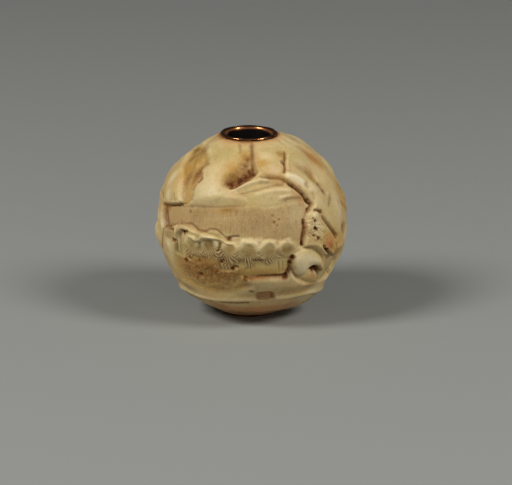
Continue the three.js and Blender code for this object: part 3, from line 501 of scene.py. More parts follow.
    # bands in the slope
    ridge(field, line((-0.24, 0.30), (-0.18, 0.325), (-0.10, 0.365), (0.03, 0.41), (0.10, 0.42),
        (0.20, 0.41)), 0.55, 0.16, pale=0.45)
    cut(field, line((-0.20, 0.262), (-0.08, 0.285), (0.05, 0.315), (0.15, 0.345), (0.25, 0.368),
        (0.36, 0.37)), 0.4, 0.06, stain=0.2, spread=1.8)
    ridge(field, line((0.0, 0.255), (0.18, 0.31), (0.34, 0.325), (0.44, 0.305)), 0.8, 0.08, pale=0.3)
    ridge(field, line((0.28, 0.232), (0.34, 0.245), (0.40, 0.262), (0.46, 0.268)), 0.6, 0.06, pale=0.3)
    cut(field, line((0.33, 0.212), (0.40, 0.232), (0.48, 0.243), (0.57, 0.25)), 0.36, 0.06, stain=0.26,
        spread=1.8)
    dab(field, side, "olive", (-0.05, 0.22), 3.0, 0.5, stretch=1.6, turn=10)
    dab(field, side, "stain", (-0.06, 0.335), 0.8, 0.16, stretch=3.0, turn=22)
    # the blocks right of the arc
    mound(field, side, 0.3, -0.02, [
        (0.60, 0.40), (0.68, 0.385), (0.73, 0.33), (0.79, 0.26), (0.79, 0.18), (0.76, 0.115), (0.70, 0.11),
        (0.645, 0.115), (0.66, 0.18), (0.62, 0.26), (0.575, 0.33)], shoulder=1.1, edge=0.22)
    boss(field, side, (0.64, 0.345), 1.5, 0.08, pale=0.6)
    boss(field, side, (0.705, 0.21), 1.7, 0.07, turn=-72, stretch=1.3, pale=0.4)
    dab(field, side, "ruddy", (0.72, 0.22), 1.4, 0.3)
    cut(field, line((0.62, 0.30), (0.645, 0.26), (0.66, 0.21)), 0.3, 0.05, stain=0.16, spread=1.8)
    cut(field, line((0.67, 0.42), (0.70, 0.385), (0.735, 0.33), (0.755, 0.30), (0.80, 0.275)), 0.6, 0.22,
        stain=0.4, spread=1.8, taper=0.3)
    drill(field, side, (0.745, 0.31), 0.36, 0.05, stain=0.4)
    cut(field, line((0.80, 0.285), (0.82, 0.25), (0.812, 0.19), (0.79, 0.11)), 0.6, 0.16, stain=0.3,
        spread=2.0, taper=0.3)
    cut(field, line((0.64, 0.105), (0.69, 0.105), (0.735, 0.075)), 0.36, 0.2, stain=0.5, spread=1.6)
    cut(field, line((0.715, 0.085), (0.74, 0.03), (0.775, -0.02), (0.82, -0.08), (0.865, -0.14),
        (0.885, -0.20)), 0.5, 0.24, stain=0.36, spread=2.0, taper=0.25)
    drill(field, side, (0.872, -0.155), 0.6, 0.08, stain=0.4)
    drill(field, side, (0.71, 0.095), 0.4, 0.08, stain=0.45)
    # the upright edge of the sky and the pitted rock beside it
    mound(field, side, 0.3, -0.02, [
        (0.60, 0.08), (0.66, 0.10), (0.70, 0.075), (0.74, 0.0), (0.80, -0.08), (0.84, -0.17), (0.78, -0.24),
        (0.66, -0.235), (0.575, -0.22), (0.575, -0.10), (0.59, 0.0)], shoulder=0.7, edge=0.2)
    rough(field, side, 0.4, 0.1, [
        (0.60, 0.03), (0.68, 0.0), (0.76, -0.10), (0.78, -0.20), (0.60, -0.22), (0.585, -0.10)],
        edge=0.3, seed=11, stain=0.25)
    boss(field, side, (0.665, 0.05), 0.9, 0.1, pale=0.8)
    dab(field, side, "pale", (0.68, -0.06), 1.9, 0.7, stretch=1.3, turn=-60)
    dab(field, side, "ruddy", (0.70, -0.02), 1.3, 0.3)
    cut(field, line((0.56, 0.028), (0.573, -0.05), (0.565, -0.13), (0.548, -0.20), (0.545, -0.29)), 0.3, 0.14,
        stain=0.72, spread=1.8, taper=0.06)
    for place, size, stain in (
        ((0.565, -0.03), 0.3, 0.6), ((0.575, -0.08), 0.24, 0.5), ((0.545, -0.25), 0.3, 0.6),
        ((0.655, -0.002), 0.24, 0.8), ((0.655, -0.078), 0.32, 1), ((0.672, -0.088), 0.26, 0.9),
        ((0.685, -0.185), 0.32, 0.9), ((0.645, -0.155), 0.22, 0.5), ((0.635, 0.02), 0.2, 0.4),
    ):
        drill(field, side, place, size, 0.12, stain=0.8 * stain)
    # the smooth hill and the ochre boulder at the right
    boss(field, side, (0.88, 0.12), 3.4, 0.16, turn=80, stretch=1.4)
    # the pale patch on the hill is painted light, brightening the side the weaker right lamp leaves dim
    dabs(field, side, (
        ("olive", (0.86, 0.05), 2.2, 0.3, 1.4, 70), ("pale", (0.90, 0.14), 3.0, 0.5, 1.3, 80),
        ("ochre", (0.90, 0.35), 2.2, 0.7, 1.6, -60), ("stain", (0.89, 0.19), 0.8, 0.25, 2.0, -10),
        ("stain", (0.91, 0.37), 1.2, 0.25, 1.6, -60),
    ))
    mound(field, side, 0.4, -0.1, [
        (0.745, -0.20), (0.80, -0.14), (0.87, -0.19), (0.93, -0.13), (0.97, -0.17), (0.95, -0.30),
        (0.89, -0.355), (0.83, -0.345), (0.78, -0.29)], shoulder=1.0, edge=0.22)
    tint(field, side, "ochre", 0.75, [
        (0.74, -0.14), (0.86, -0.10), (0.97, -0.16), (0.93, -0.37), (0.76, -0.30)])
    dab(field, side, "ruddy", (0.80, -0.23), 1.8, 0.9)
    dab(field, side, "stain", (0.82, -0.25), 1.2, 0.3)
    cut(field, line((0.735, -0.245), (0.765, -0.30), (0.80, -0.33), (0.85, -0.375), (0.90, -0.40)), 0.42,
        0.34, stain=0.5, spread=1.7)
    drill(field, side, (0.775, -0.31), 0.46, 0.2, stain=0.9)
    cut(field, line((0.87, -0.22), (0.87, -0.28), (0.855, -0.34)), 0.26, 0.1, stain=0.35)
    # swellings and recesses that break the outline on both sides
    for place, size, rise, turn, stretch in (
        ((0.80, 0.58), 2.6, 0.18, -60, 1.2), ((0.905, 0.415), 1.6, -0.14, -70, 1.3),
        ((0.97, 0.22), 3.2, 0.2, 80, 1.2), ((0.53, 0.83), 3.0, -0.12, -40, 1.4),
        ((0.85, -0.43), 2.4, -0.5, 60, 1.3), ((-0.61, 0.76), 3.4, -0.3, 40, 1.3),
        ((-0.43, 0.87), 2.6, -0.14, 30, 1.3), ((-0.88, 0.50), 2.4, 0.16, 60, 1.3),
        ((-0.86, -0.49), 3.0, -0.2, -50, 1.4), ((0.895, -0.43), 3.2, -0.62, 64, 1.25),
        ((0.64, -0.77), 4.6, 0.3, 38, 1.5), ((-0.72, -0.70), 3.2, 0.2, -44, 1.4),
        ((-0.60, 0.80), 2.6, -0.16, 40, 1.4), ((-0.995, 0.085), 1.9, -0.5, 88, 1.2),
        ((0.995, -0.09), 1.6, -0.2, 85, 1.2),
    ):
        boss(field, side, place, size, rise, turn=turn, stretch=stretch, clean=0)
    # ground for the pines and the rocks
    shelf(field, side, depths["pines"], [
        (-0.76, -0.10), (-0.70, -0.14), (-0.58, -0.22), (-0.50, -0.19), (-0.36, -0.20), (-0.24, -0.25),
        (-0.10, -0.21), (0.0, -0.19), (0.10, -0.21), (0.20, -0.22), (0.30, -0.22), (0.44, -0.24),
        (0.52, -0.32), (0.46, -0.36), (0.41, -0.44), (0.40, -0.56), (0.34, -0.60), (0.10, -0.60),
        (-0.10, -0.60), (-0.30, -0.56), (-0.50, -0.50), (-0.70, -0.42), (-0.80, -0.34), (-0.80, -0.20)],
        edge=0.3)
    tint(field, side, "olive", 0.8, [
        (-0.80, -0.22), (-0.60, -0.24), (-0.2, -0.30), (0.2, -0.30), (0.44, -0.34), (0.38, -0.56),
        (0.0, -0.58), (-0.4, -0.46), (-0.78, -0.42)], edge=0.6)


def carveGround(field, side, seed=0):  # the lower half: pines, broken rocks, a scroll of cloud and the bank
    def line(*shares):
        return lineThrough(side, shares)

    # the drifting cloud over the left pines
    mound(field, side, 0.44, 0.385, [
        (-0.74, -0.05), (-0.66, -0.04), (-0.61, -0.075), (-0.565, -0.115), (-0.50, -0.115), (-0.46, -0.095),
        (-0.40, -0.10), (-0.36, -0.125), (-0.30, -0.175), (-0.25, -0.20), (-0.30, -0.235), (-0.36, -0.21),
        (-0.46, -0.17), (-0.56, -0.18), (-0.66, -0.15), (-0.72, -0.11)], shoulder=0.9, edge=0.45, soft=0.14)
    cut(field, line((-0.76, -0.035), (-0.68, -0.03), (-0.62, -0.065), (-0.575, -0.108), (-0.51, -0.118),
        (-0.46, -0.098), (-0.40, -0.10), (-0.36, -0.12), (-0.31, -0.165), (-0.27, -0.185)), 0.28, 0.08,
        stain=0.34, taper=0.15, spread=1.8)
    tint(field, side, "olive", 0.9, [
        (-0.72, -0.07), (-0.60, -0.12), (-0.46, -0.13), (-0.34, -0.16), (-0.30, -0.22), (-0.46, -0.2),
        (-0.66, -0.16)], edge=0.6)
    drill(field, side, (-0.73, -0.12), 0.5, 0.4, stain=1.0)
    cut(field, line((-0.73, -0.12), (-0.70, -0.113), (-0.66, -0.12)), 0.4, 0.2, stain=0.7, taper=0.1)
    dab(field, side, "stain", (-0.25, -0.20), 0.8, 0.7, stretch=1.2)
    cut(field, line((-0.31, -0.185), (-0.26, -0.195), (-0.20, -0.18), (-0.12, -0.178)), 0.4, 0.12,
        stain=0.26, spread=1.8)
    # ground below the pines
    shelf(field, side, depths["rocks"], [
        (-0.80, -0.36), (-0.66, -0.42), (-0.46, -0.42), (-0.36, -0.47), (-0.12, -0.50), (0.10, -0.50),
        (0.30, -0.52), (0.38, -0.58), (0.34, -0.60), (0.10, -0.605), (-0.10, -0.62), (0.0, -0.70),
        (-0.20, -0.77), (-0.45, -0.75), (-0.62, -0.69), (-0.74, -0.58)], edge=0.9)
    rough(field, side, 0.5, 0.06, [
        (-0.78, -0.38), (-0.66, -0.40), (-0.50, -0.40), (-0.34, -0.50), (-0.20, -0.56), (-0.10, -0.62),
        (-0.10, -0.72), (-0.36, -0.74), (-0.56, -0.68), (-0.72, -0.58)], edge=0.9, seed=seed + 5, stain=0.12)
    tint(field, side, "ochre", 0.7, [
        (-0.80, -0.40), (-0.50, -0.40), (-0.20, -0.50), (0.30, -0.50), (0.36, -0.57), (0, -0.64),
        (-0.10, -0.74), (-0.50, -0.74), (-0.72, -0.62)])
    tint(field, side, "stain", 0.44, [
        (-0.76, -0.44), (-0.50, -0.42), (-0.20, -0.50), (-0.14, -0.62), (-0.46, -0.66), (-0.68, -0.58)],
        edge=1.7)
    # the left pines
    for place, rise, turn, dark, bright, drawn in (
        ((-0.652, -0.245), 0.26, -15, 0.35, 0.8, 2), ((-0.459, -0.257), 0.28, -5, 0.4, 0.9, 3),
    ):
        pine(field, side, place, 1.9, rise, 1.9, 80, turn, dark, bright, seed + drawn)
    dab(field, side, "stain", (-0.44, -0.26), 1.1, 0.4, stretch=1.2, turn=60)
    dab(field, side, "stain", (-0.68, -0.36), 1.8, 0.35, stretch=1.4, turn=60)
    cut(field, line((-0.34, -0.235), (-0.348, -0.285), (-0.37, -0.345)), 0.32, 0.1, stain=0.5, spread=1.8)
    dabs(field, side, (
        ("stain", (-0.39, -0.37), 1.1, 0.6, 1.3, 0), ("stain", (-0.54, -0.40), 2.2, 0.45, 1.8, 0),
        ("stain", (-0.30, -0.42), 1.8, 0.5, 1.5, -20),
    ))
    # the right pines, the front row over the one behind
    for place, size, rise, reach, fan, turn, dark, bright, drawn in (
        ((-0.235, -0.315), 1.5, 0.16, 2.3, 95, -25, 0.1, 0.4, 4),
        ((0.37, -0.30), 1.7, 0.22, 1.5, 60, 20, 0.5, 0.3, 5),
        ((0.185, -0.31), 1.85, 0.25, 1.8, 80, 6, 0.3, 0.45, 7),
        ((-0.03, -0.31), 2.1, 0.3, 1.9, 85, -8, 0.32, 0.55, 6),
    ):
        pine(field, side, place, size, rise, reach, fan, turn, dark, bright, seed + drawn)
    dabs(field, side, (
        ("ruddy", (-0.25, -0.29), 1.4, 0.3, 1.3, 0), ("stain", (0.40, -0.31), 1.3, 0.45, 1.3, 0),
        ("stain", (0.20, -0.34), 1.2, 0.3, 1.0, 0), ("stain", (-0.02, -0.325), 1.3, 0.26, 1.0, 0),
    ))
    cut(field, line((0.0, -0.435), (0.04, -0.425), (0.08, -0.42), (0.12, -0.43)), 0.4, 0.12, stain=0.5,
        spread=1.8)
    # the ribbed hollow under them
    shelf(field, side, depths["rocks"] + 0.15, [
        (-0.36, -0.45), (-0.25, -0.47), (-0.16, -0.50), (-0.18, -0.54), (-0.26, -0.55), (-0.35, -0.54)],
        edge=0.36, stain=0.45)
    for i in range(5):
        at = -0.335 + 0.038 * i
        ridge(field, line((at, -0.47 - 0.006 * i), (at + 0.03, -0.545)), 0.2, 0.07, pale=0.0)
    drill(field, side, (-0.335, -0.452), 0.34, 0.1, stain=0.6)
    drill(field, side, (-0.21, -0.528), 0.36, 0.12, stain=0.7)
    cut(field, line((-0.22, -0.51), (-0.17, -0.50), (-0.14, -0.51)), 0.3, 0.12, stain=0.7)
    for place, size, stain in (
        ((-0.71, -0.425), 0.42, 0.75), ((-0.675, -0.405), 0.28, 0.6), ((-0.57, -0.44), 0.45, 0.45),
        ((-0.595, -0.51), 0.36, 0.5), ((-0.55, -0.585), 0.55, 0.55), ((-0.50, -0.53), 0.2, 0.4),
    ):
        drill(field, side, place, size, 0.12, stain=stain)
    # the slot and the block under it
    mound(field, side, 0.3, 0.16, [
        (-0.03, -0.63), (0.10, -0.62), (0.30, -0.612), (0.365, -0.615), (0.37, -0.66), (0.36, -0.70),
        (0.20, -0.715), (0.04, -0.71), (-0.05, -0.68)], shoulder=1.1, edge=1.2, clean=False)
    cut(field, line((-0.09, -0.617), (0.0, -0.612), (0.10, -0.602), (0.22, -0.595), (0.36, -0.588)), 0.34,
        0.08, stain=0.66, taper=0.04, spread=2.2)
    cut(field, line((0.18, -0.597), (0.27, -0.592), (0.36, -0.588)), 0.4, 0.06, stain=0.7, taper=0.3)
    drill(field, side, (-0.065, -0.618), 0.46, 0.06, stain=0.6)
    drill(field, side, (0.35, -0.592), 0.56, 0.2, stain=0.8)
    cut(field, line((0.28, -0.44), (0.29, -0.50), (0.29, -0.56)), 0.2, 0.05, stain=0.15)
    cut(field, line((0.33, -0.43), (0.335, -0.50), (0.33, -0.56)), 0.2, 0.05, stain=0.15)
    # the scroll of cloud
    shelf(field, side, 0.3, [
        (0.44, -0.36), (0.52, -0.29), (0.66, -0.27), (0.76, -0.34), (0.86, -0.38), (0.90, -0.44),
        (0.84, -0.56), (0.74, -0.64), (0.58, -0.66), (0.46, -0.61), (0.40, -0.50)], edge=0.36)
    shelf(field, side, 0.5, [
        (0.79, -0.36), (0.88, -0.39), (0.92, -0.42), (0.84, -0.56), (0.79, -0.60), (0.785, -0.48)], edge=0.5)
    ridge(field, line((0.58, -0.245), (0.66, -0.25), (0.72, -0.285), (0.765, -0.345), (0.79, -0.42),
        (0.78, -0.52)), 0.8, 0.1, pale=0.0)
    mound(field, side, 0.34, -0.14, [
        (0.425, -0.44), (0.455, -0.365), (0.52, -0.31), (0.60, -0.30), (0.70, -0.345), (0.76, -0.43),
        (0.755, -0.53), (0.72, -0.55), (0.68, -0.49), (0.62, -0.50), (0.575, -0.56), (0.50, -0.585),
        (0.445, -0.54)], shoulder=1.25, edge=0.2)
    mound(field, side, 0.35, 0.1, [
        (0.59, -0.55), (0.64, -0.53), (0.70, -0.55), (0.73, -0.62), (0.68, -0.68), (0.58, -0.68),
        (0.54, -0.62)], shoulder=1.1, edge=0.9, soft=0.16)
    tint(field, side, "pale", 0.8, [
        (0.45, -0.44), (0.50, -0.36), (0.60, -0.34), (0.70, -0.40), (0.70, -0.46), (0.60, -0.48),
        (0.54, -0.56), (0.47, -0.54)], edge=0.7)
    dab(field, side, "olive", (0.58, -0.36), 1.6, 0.6, stretch=1.6, turn=-15)
    cut(field, line((0.60, -0.525), (0.635, -0.498), (0.68, -0.50), (0.712, -0.53), (0.722, -0.575)), 0.6,
        0.8, stain=1.0, spread=1.4, taper=0.14, sharp=0.7)
    dab(field, side, "stain", (0.66, -0.51), 1.0, 1.0, stretch=1.6)
    cut(field, line((0.455, -0.37), (0.425, -0.405), (0.405, -0.46), (0.403, -0.52), (0.36, -0.585)), 0.46,
        0.22, stain=0.6, spread=1.9)
    drill(field, side, (0.435, -0.395), 0.42, 0.12, stain=0.7)
    drill(field, side, (0.408, -0.455), 0.36, 0.1, stain=0.75)
    dab(field, side, "stain", (0.40, -0.53), 1.2, 0.6, stretch=1.3, turn=60)
    tint(field, side, "ochre", 0.5, [
        (0.58, -0.58), (0.66, -0.55), (0.73, -0.60), (0.70, -0.69), (0.58, -0.68)], edge=0.5)
    dab(field, side, "ruddy", (0.64, -0.58), 1.1, 0.3)
    dab(field, side, "stain", (0.71, -0.60), 0.7, 0.4, stretch=1.8, turn=80)
    # the olive valley above the bank at the right
    tint(field, side, "olive", 0.9, [
        (0.30, -0.77), (0.46, -0.76), (0.62, -0.71), (0.72, -0.64), (0.70, -0.70), (0.52, -0.79),
        (0.38, -0.81)], edge=0.6)
    dab(field, side, "ochre", (0.62, -0.70), 2.0, 0.9, stretch=1.8, turn=30)
    # the pale patch over the bank's right end is painted light
    dab(field, side, "pale", (0.60, -0.76), 3.0, 0.8, stretch=1.8, turn=34)
    # marks on and below the bank
    shelf(field, side, 0.14, [
        (0.06, -0.755), (0.22, -0.75), (0.225, -0.82), (0.06, -0.828)], edge=0.24, stain=0.34, ochre=0.4)
    dab(field, side, "ruddy", (0.14, -0.79), 1.4, 0.5, stretch=1.4)
    cut(field, line((0.205, -0.755), (0.21, -0.785), (0.205, -0.82)), 0.4, 0.1, stain=0.6, spread=1.4)
    drill(field, side, (0.0, -0.75), 0.38, 0.08, stain=0.5)
    cut(field, line((-0.345, -0.843), (-0.27, -0.856), (-0.19, -0.866), (-0.10, -0.864), (-0.01, -0.855)),
        0.3, 0.22, stain=0.7, taper=0.1, spread=1.7)
    for place, amount in (
        ((-0.30, -0.90), 0.5), ((-0.05, -0.93), 0.6), ((0.18, -0.92), 0.7), ((0.40, -0.87), 0.5),
    ):
        dab(field, side, "ruddy", place, 1.8, amount + 0.4, stretch=2.0)
        dab(field, side, "stain", place, 1.4, 0.1, stretch=2.2)
    tint(field, side, "ruddy", 0.6, [
        (-0.50, -0.86), (-0.2, -0.90), (0.1, -0.895), (0.35, -0.875), (0.5, -0.85), (0.3, -0.97),
        (-0.3, -0.97)], edge=0.8)
    # the far left: a boulder, its recess and an upright post
    tint(field, side, "stain", 0.3, [
        (-0.91, -0.04), (-0.82, -0.06), (-0.81, -0.17), (-0.90, -0.17)], edge=0.5)
    cut(field, line((-0.905, -0.065), (-0.86, -0.08), (-0.81, -0.10)), 0.4, 0.2, stain=0.65, spread=1.6)
    mound(field, side, 0.32, -0.02, [
        (-0.925, -0.17), (-0.88, -0.17), (-0.85, -0.21), (-0.82, -0.25), (-0.825, -0.30), (-0.87, -0.33),
        (-0.92, -0.29)], shoulder=0.7, edge=0.2)
    dab(field, side, "pale", (-0.87, -0.24), 1.3, 0.8, stretch=1.4, turn=-60)
    ridge(field, line((-0.795, -0.0), (-0.79, -0.12), (-0.785, -0.22), (-0.78, -0.36)), 0.42, 0.2, pale=0.3)
    drill(field, side, (-0.818, -0.20), 0.4, 0.2, stain=0.65)
    cut(field, line((-0.93, 0.12), (-0.928, 0.04), (-0.922, -0.04), (-0.93, -0.14), (-0.94, -0.24),
        (-0.935, -0.33)), 0.34, 0.24, stain=0.55, spread=1.6)
    boss(field, side, (-0.985, -0.12), 2.4, 0.26, turn=85, stretch=1.3, clean=0.3)
    # the sky's upright scratches and its dots
    hatching(field, side, [
        (-0.92, 0.15), (-0.5, 0.12), (-0.2, 0.12), (0.2, 0.13), (0.5, 0.19), (0.59, 0.16), (0.55, -0.22),
        (0.2, -0.20), (-0.2, -0.16), (-0.5, -0.09), (-0.92, -0.02)])
    # the pale patch at the sky's right is painted light, brightening the side the weaker right lamp leaves
    # dim; the brown in its middle is tone
    dabs(field, side, (
        ("pale", (0.50, 0.04), 3.0, 0.3, 1.4, 80), ("stain", (0.04, 0.0), 4.0, 0.16, 1.5, 0),
        ("stain", (-0.62, 0.05), 2.2, 0.12, 1.5, 0),
    ))
    for place, size, stain in (
        ((0.245, -0.022), 0.3, 0.4), ((0.30, 0.01), 0.22, 0.3), ((0.28, -0.06), 0.2, 0.25),
        ((-0.68, 0.10), 0.3, 0.35), ((0.23, 0.05), 0.3, 0.2),
    ):
        drill(field, side, place, size, 0.05, stain=stain)


def carveBank(field):  # the bank that closes the scene off all round, above the plain base
    cut(field, lineRound(-0.585, 0.02, 2, 0.8), 1.6, 0.12, stain=0.0, taper=0)
    near = lineRound(-0.648, 0.022, 3, 0.6)
    ridge(field, near, 0.62, 0.12, pale=0.45, taper=0)


def carveFlank(field, side, hand, seed):  # a steep mountain over pines and rocks, between the two scenes
    def at(*shares):
        return [(hand * u, v) for u, v in shares]

    def groove(*shares, width=0.5, depth=0.2, stain=0.3, taper=0.25):
        cut(field, lineThrough(side, at(*shares)), width, depth, stain=stain, spread=1.8, taper=taper)

    def crest(*shares, width=0.7, rise=0.12, pale=0.3):
        ridge(field, lineThrough(side, at(*shares)), width, rise, pale=pale, taper=0.25)

    def spot(name, place, size, amount, stretch=1.5, turn=80):
        dab(field, side, name, at(place)[0], size, amount, stretch, hand * turn)

    sky = at((-0.13, 0.03), (-0.08, 0.10), (0.02, 0.16), (0.14, 0.20), (0.30, 0.22), (0.46, 0.14),
        (0.44, -0.02), (0.34, -0.12), (0.16, -0.16), (0.0, -0.14), (-0.10, -0.08))
    shelf(field, side, depths["sky"], sky, edge=0.35)
    hatching(field, side, [(0.9 * u, 0.86 * v + 0.006) for u, v in sky])
    mound(field, side, 0.42, -0.12, at((-0.28, 0.80), (-0.40, 0.62), (-0.50, 0.42), (-0.47, 0.24),
        (-0.30, 0.14), (-0.18, 0.08), (-0.06, 0.14), (0.09, 0.20), (0.16, 0.27), (0.13, 0.35), (0.19, 0.41),
        (0.15, 0.49), (0.17, 0.57), (0.09, 0.66), (0.06, 0.78)), shoulder=1.9, edge=0.25)
    groove((0.00, 0.76), (-0.04, 0.64), (-0.10, 0.52), (-0.08, 0.40), (-0.14, 0.30), (-0.13, 0.20),
        depth=0.26, stain=0.4)
    crest((0.05, 0.72), (0.02, 0.62), (-0.03, 0.50), (-0.01, 0.38), (-0.06, 0.27))
    groove((-0.14, 0.72), (-0.20, 0.60), (-0.19, 0.50), (-0.26, 0.38), (-0.24, 0.28), (-0.30, 0.18),
        depth=0.2)
    crest((-0.08, 0.68), (-0.13, 0.58), (-0.17, 0.46), (-0.19, 0.34), (-0.20, 0.24), rise=0.14, pale=0.4)
    groove((0.10, 0.60), (0.06, 0.52), (0.08, 0.44), (0.03, 0.35), (0.05, 0.26), width=0.4, depth=0.14)
    groove((-0.30, 0.62), (-0.33, 0.48), (-0.36, 0.36), (-0.34, 0.26), width=0.6, depth=0.14, stain=0.2)
    width, depth, stain = (0.36, 0.12, 0.5) if hand > 0 else (0.7, 0.07, 0.16)
    for scallop in (
        ((0.09, 0.665), (0.13, 0.61), (0.17, 0.565)), ((0.15, 0.50), (0.165, 0.46), (0.19, 0.42)),
        ((0.13, 0.36), (0.14, 0.31), (0.165, 0.265)),
    ):
        groove(*scallop, width=width, depth=depth, stain=stain, taper=0.1)
    groove((-0.15, 0.06), (-0.06, 0.125), (0.09, 0.19), (0.20, 0.235), width=0.3, depth=0.12, stain=0.45)
    spot("ochre", (-0.12, 0.42), 3.0, 1.0, stretch=1.8)
    spot("stain", (-0.10, 0.45), 1.8, 0.4, stretch=2.0)
    spot("pale", (-0.28, 0.44), 2.4, 0.45, stretch=1.8)
    spot("olive", (0.0, 0.68), 3.0, 0.8)
    spot("ruddy", (0.06, 0.32), 2.0, 0.5)
    spot("ochre", (0.28, 0.44), 3.0, 1.0, stretch=1.8)
    spot("stain", (0.24, 0.36), 1.6, 0.45, stretch=2.0)
    # a drift of cloud across the foot of the sky
    mound(field, side, 0.42, 0.14, at((-0.14, -0.08), (-0.08, -0.03), (-0.01, -0.05), (0.05, 0.0),
        (0.12, 0.01), (0.17, -0.03), (0.25, -0.03), (0.30, -0.07), (0.38, -0.08), (0.30, -0.14),
        (0.10, -0.16), (-0.06, -0.15)), shoulder=0.7, edge=0.25)
    groove((-0.13, -0.07), (-0.08, -0.02), (-0.01, -0.04), (0.05, 0.01), (0.12, 0.02), (0.17, -0.02),
        (0.25, -0.02), (0.30, -0.06), (0.37, -0.07), width=0.26, depth=0.08, stain=0.32, taper=0.1)
    groove((0.0, -0.09), (0.06, -0.05), (0.13, -0.045), (0.17, -0.08), width=0.3, depth=0.08, stain=0.25)
    # pines on broken ground
    low = at((-0.30, -0.24), (-0.14, -0.16), (0.10, -0.15), (0.36, -0.12), (0.48, -0.24), (0.44, -0.44),
        (0.24, -0.56), (-0.04, -0.60), (-0.26, -0.56), (-0.36, -0.44))
    shelf(field, side, depths["pines"], low, edge=0.5)
    tint(field, side, "olive", 0.7, low, edge=0.8)
    rocks = at((-0.34, -0.40), (-0.10, -0.38), (0.20, -0.42), (0.42, -0.42), (0.34, -0.54), (0.05, -0.63),
        (-0.28, -0.60))
    rough(field, side, 0.8, 0.16, rocks, edge=0.8, seed=seed, stain=0.3)
    rough(field, side, 0.4, 0.06, rocks, edge=0.8, seed=seed + 3, stain=0.25)
    tint(field, side, "ochre", 0.6, rocks, edge=1.0)
    for i, (place, size, turn) in enumerate((
        ((0.37, -0.15), 1.7, 14), ((0.20, -0.19), 2.25, 8), ((0.01, -0.24), 2.1, -3),
        ((0.33, -0.33), 1.95, 10), ((-0.17, -0.32), 1.6, -12), ((0.13, -0.38), 2.0, 4),
    )):
        pine(field, side, at(place)[0], size, 0.26, turn=hand * turn, dark=0.42, bright=0.45, seed=seed + i)
    for place, size in (
        ((0.11, -0.27), 0.42), ((0.28, -0.24), 0.4), ((-0.08, -0.31), 0.42), ((0.23, -0.42), 0.5),
    ):
        drill(field, side, at(place)[0], size, 0.2, stain=0.8)
    cloud(field, side, at((-0.06, -0.48))[0], 2.1, hand < 0)
    groove((0.12, -0.55), (0.24, -0.55), (0.36, -0.52), width=0.34, depth=0.28, stain=0.6, taper=0.1)


def twisted(places):  # the far side is the same kind of scene with everything shifted about
    up = places[:, 2]
    x, y = places[:, 0], places[:, 1]
    turn = 0.34 * np.sin(2.6 * up + 0.4) + 0.05 * np.sin(7 * up + 1.0)
    turn = turn + 0.07 * np.sin(3.1 * x + 2.3 * y + 1.7)
    across, away = x * np.cos(turn) - y * np.sin(turn), x * np.sin(turn) + y * np.cos(turn)
    moved = np.stack([across, away, up], axis=1)
    moved[:, 2] += 0.02 * np.sin(4 * x - 3 * y)
    return directions(moved)


def carveBall(places):  # the front, then the back, then the flanks over both
    field = makeField(places)
    carveBank(field)
    far = makeField(twisted(places))
    for name in ("height", "stain", "ochre", "pale"):
        far[name][:] = field[name]
    carveScene(field, front)
    carveGround(field, front)
    boss(field, rightSide, (-0.44, -0.03), 1.6, -0.45, turn=-28, stretch=2.6, clean=0)
    for shift in (0.0, 0.11, 0.23):  # shallow bands down both flanks
        for side, way, depth, shares in (
            (rightSide, shift, 0.12, ((-0.52, 0.34), (-0.38, 0.22), (-0.27, 0.06), (-0.22, -0.1))),
            (leftSide, -shift, 0.1, ((0.24, 0.56), (0.19, 0.36), (0.10, 0.16), (0.12, -0.06))),
        ):
            band = lineThrough(side, [(u + way, v) for u, v in shares])
            cut(field, band, 0.7, depth, stain=0.2, spread=1.8, taper=0.4)
    dab(field, rightSide, "ochre", (-0.30, 0.30), 3.4, 0.8, stretch=1.6, turn=60)
    dab(field, leftSide, "ochre", (0.05, 0.30), 3.4, 0.8, stretch=1.6, turn=60)
    boss(field, leftSide, (0.34, 0.09), 1.3, -0.2, turn=40, stretch=2.8, clean=0)
    carveScene(far, back)
    carveGround(far, back, seed=50)
    nearness = smooth((places @ front["out"] - ball["backEnd"]) / ball["backFade"])
    for name in far:
        if name != "places":
            field[name] = far[name] + (field[name] - far[name]) * nearness
    ends = makeField(places)
    for name in far:
        ends[name][:] = field[name]
    carveFlank(ends, rightSide, 1, 120)
    carveFlank(ends, leftSide, -1, 160)
    # what the front shows stays as it is
    seen = smooth((places @ front["out"] - ball["flankEnd"]) / ball["flankFade"])
    for name in ends:
        if name != "places":
            field[name] = ends[name] + (field[name] - ends[name]) * seen
    field["height"] += 0.012 * wobble(places, 1.6, 3) + 0.03 * wobble(places, 6.0, 4)
    rng = np.random.default_rng(7)
    for azimuth in range(15, 360, 30):  # short cracks that run out from one eyelet or the other
        end = sideOf(azimuth + rng.uniform(-9, 9), 90 if rng.uniform() < 0.6 else -90)
        reach = rng.uniform(0.42, 0.6)
        sway = rng.uniform(-0.03, 0.03)
        crack = lineThrough(end, [(0.0, -0.28), (sway, -0.36), (0.0, -reach)])
        cut(field, crack, 0.2, 0.05, stain=rng.uniform(0.25, 0.5), spread=1.5, taper=0.5)
    # painted shade: the lower half a little darker, down to the plain base
    low = smooth((-0.25 - places[:, 2]) / 0.3) * smooth((places[:, 2] + 0.8) / 0.2)
    field["stain"] = np.maximum(field["stain"], 0.05 * low)
    return field


def flattened(places):  # how far the ball is cut back round each eyelet
    return -ball["flat"] * smooth((np.abs(places[:, 2]) - 0.80) / 0.13)


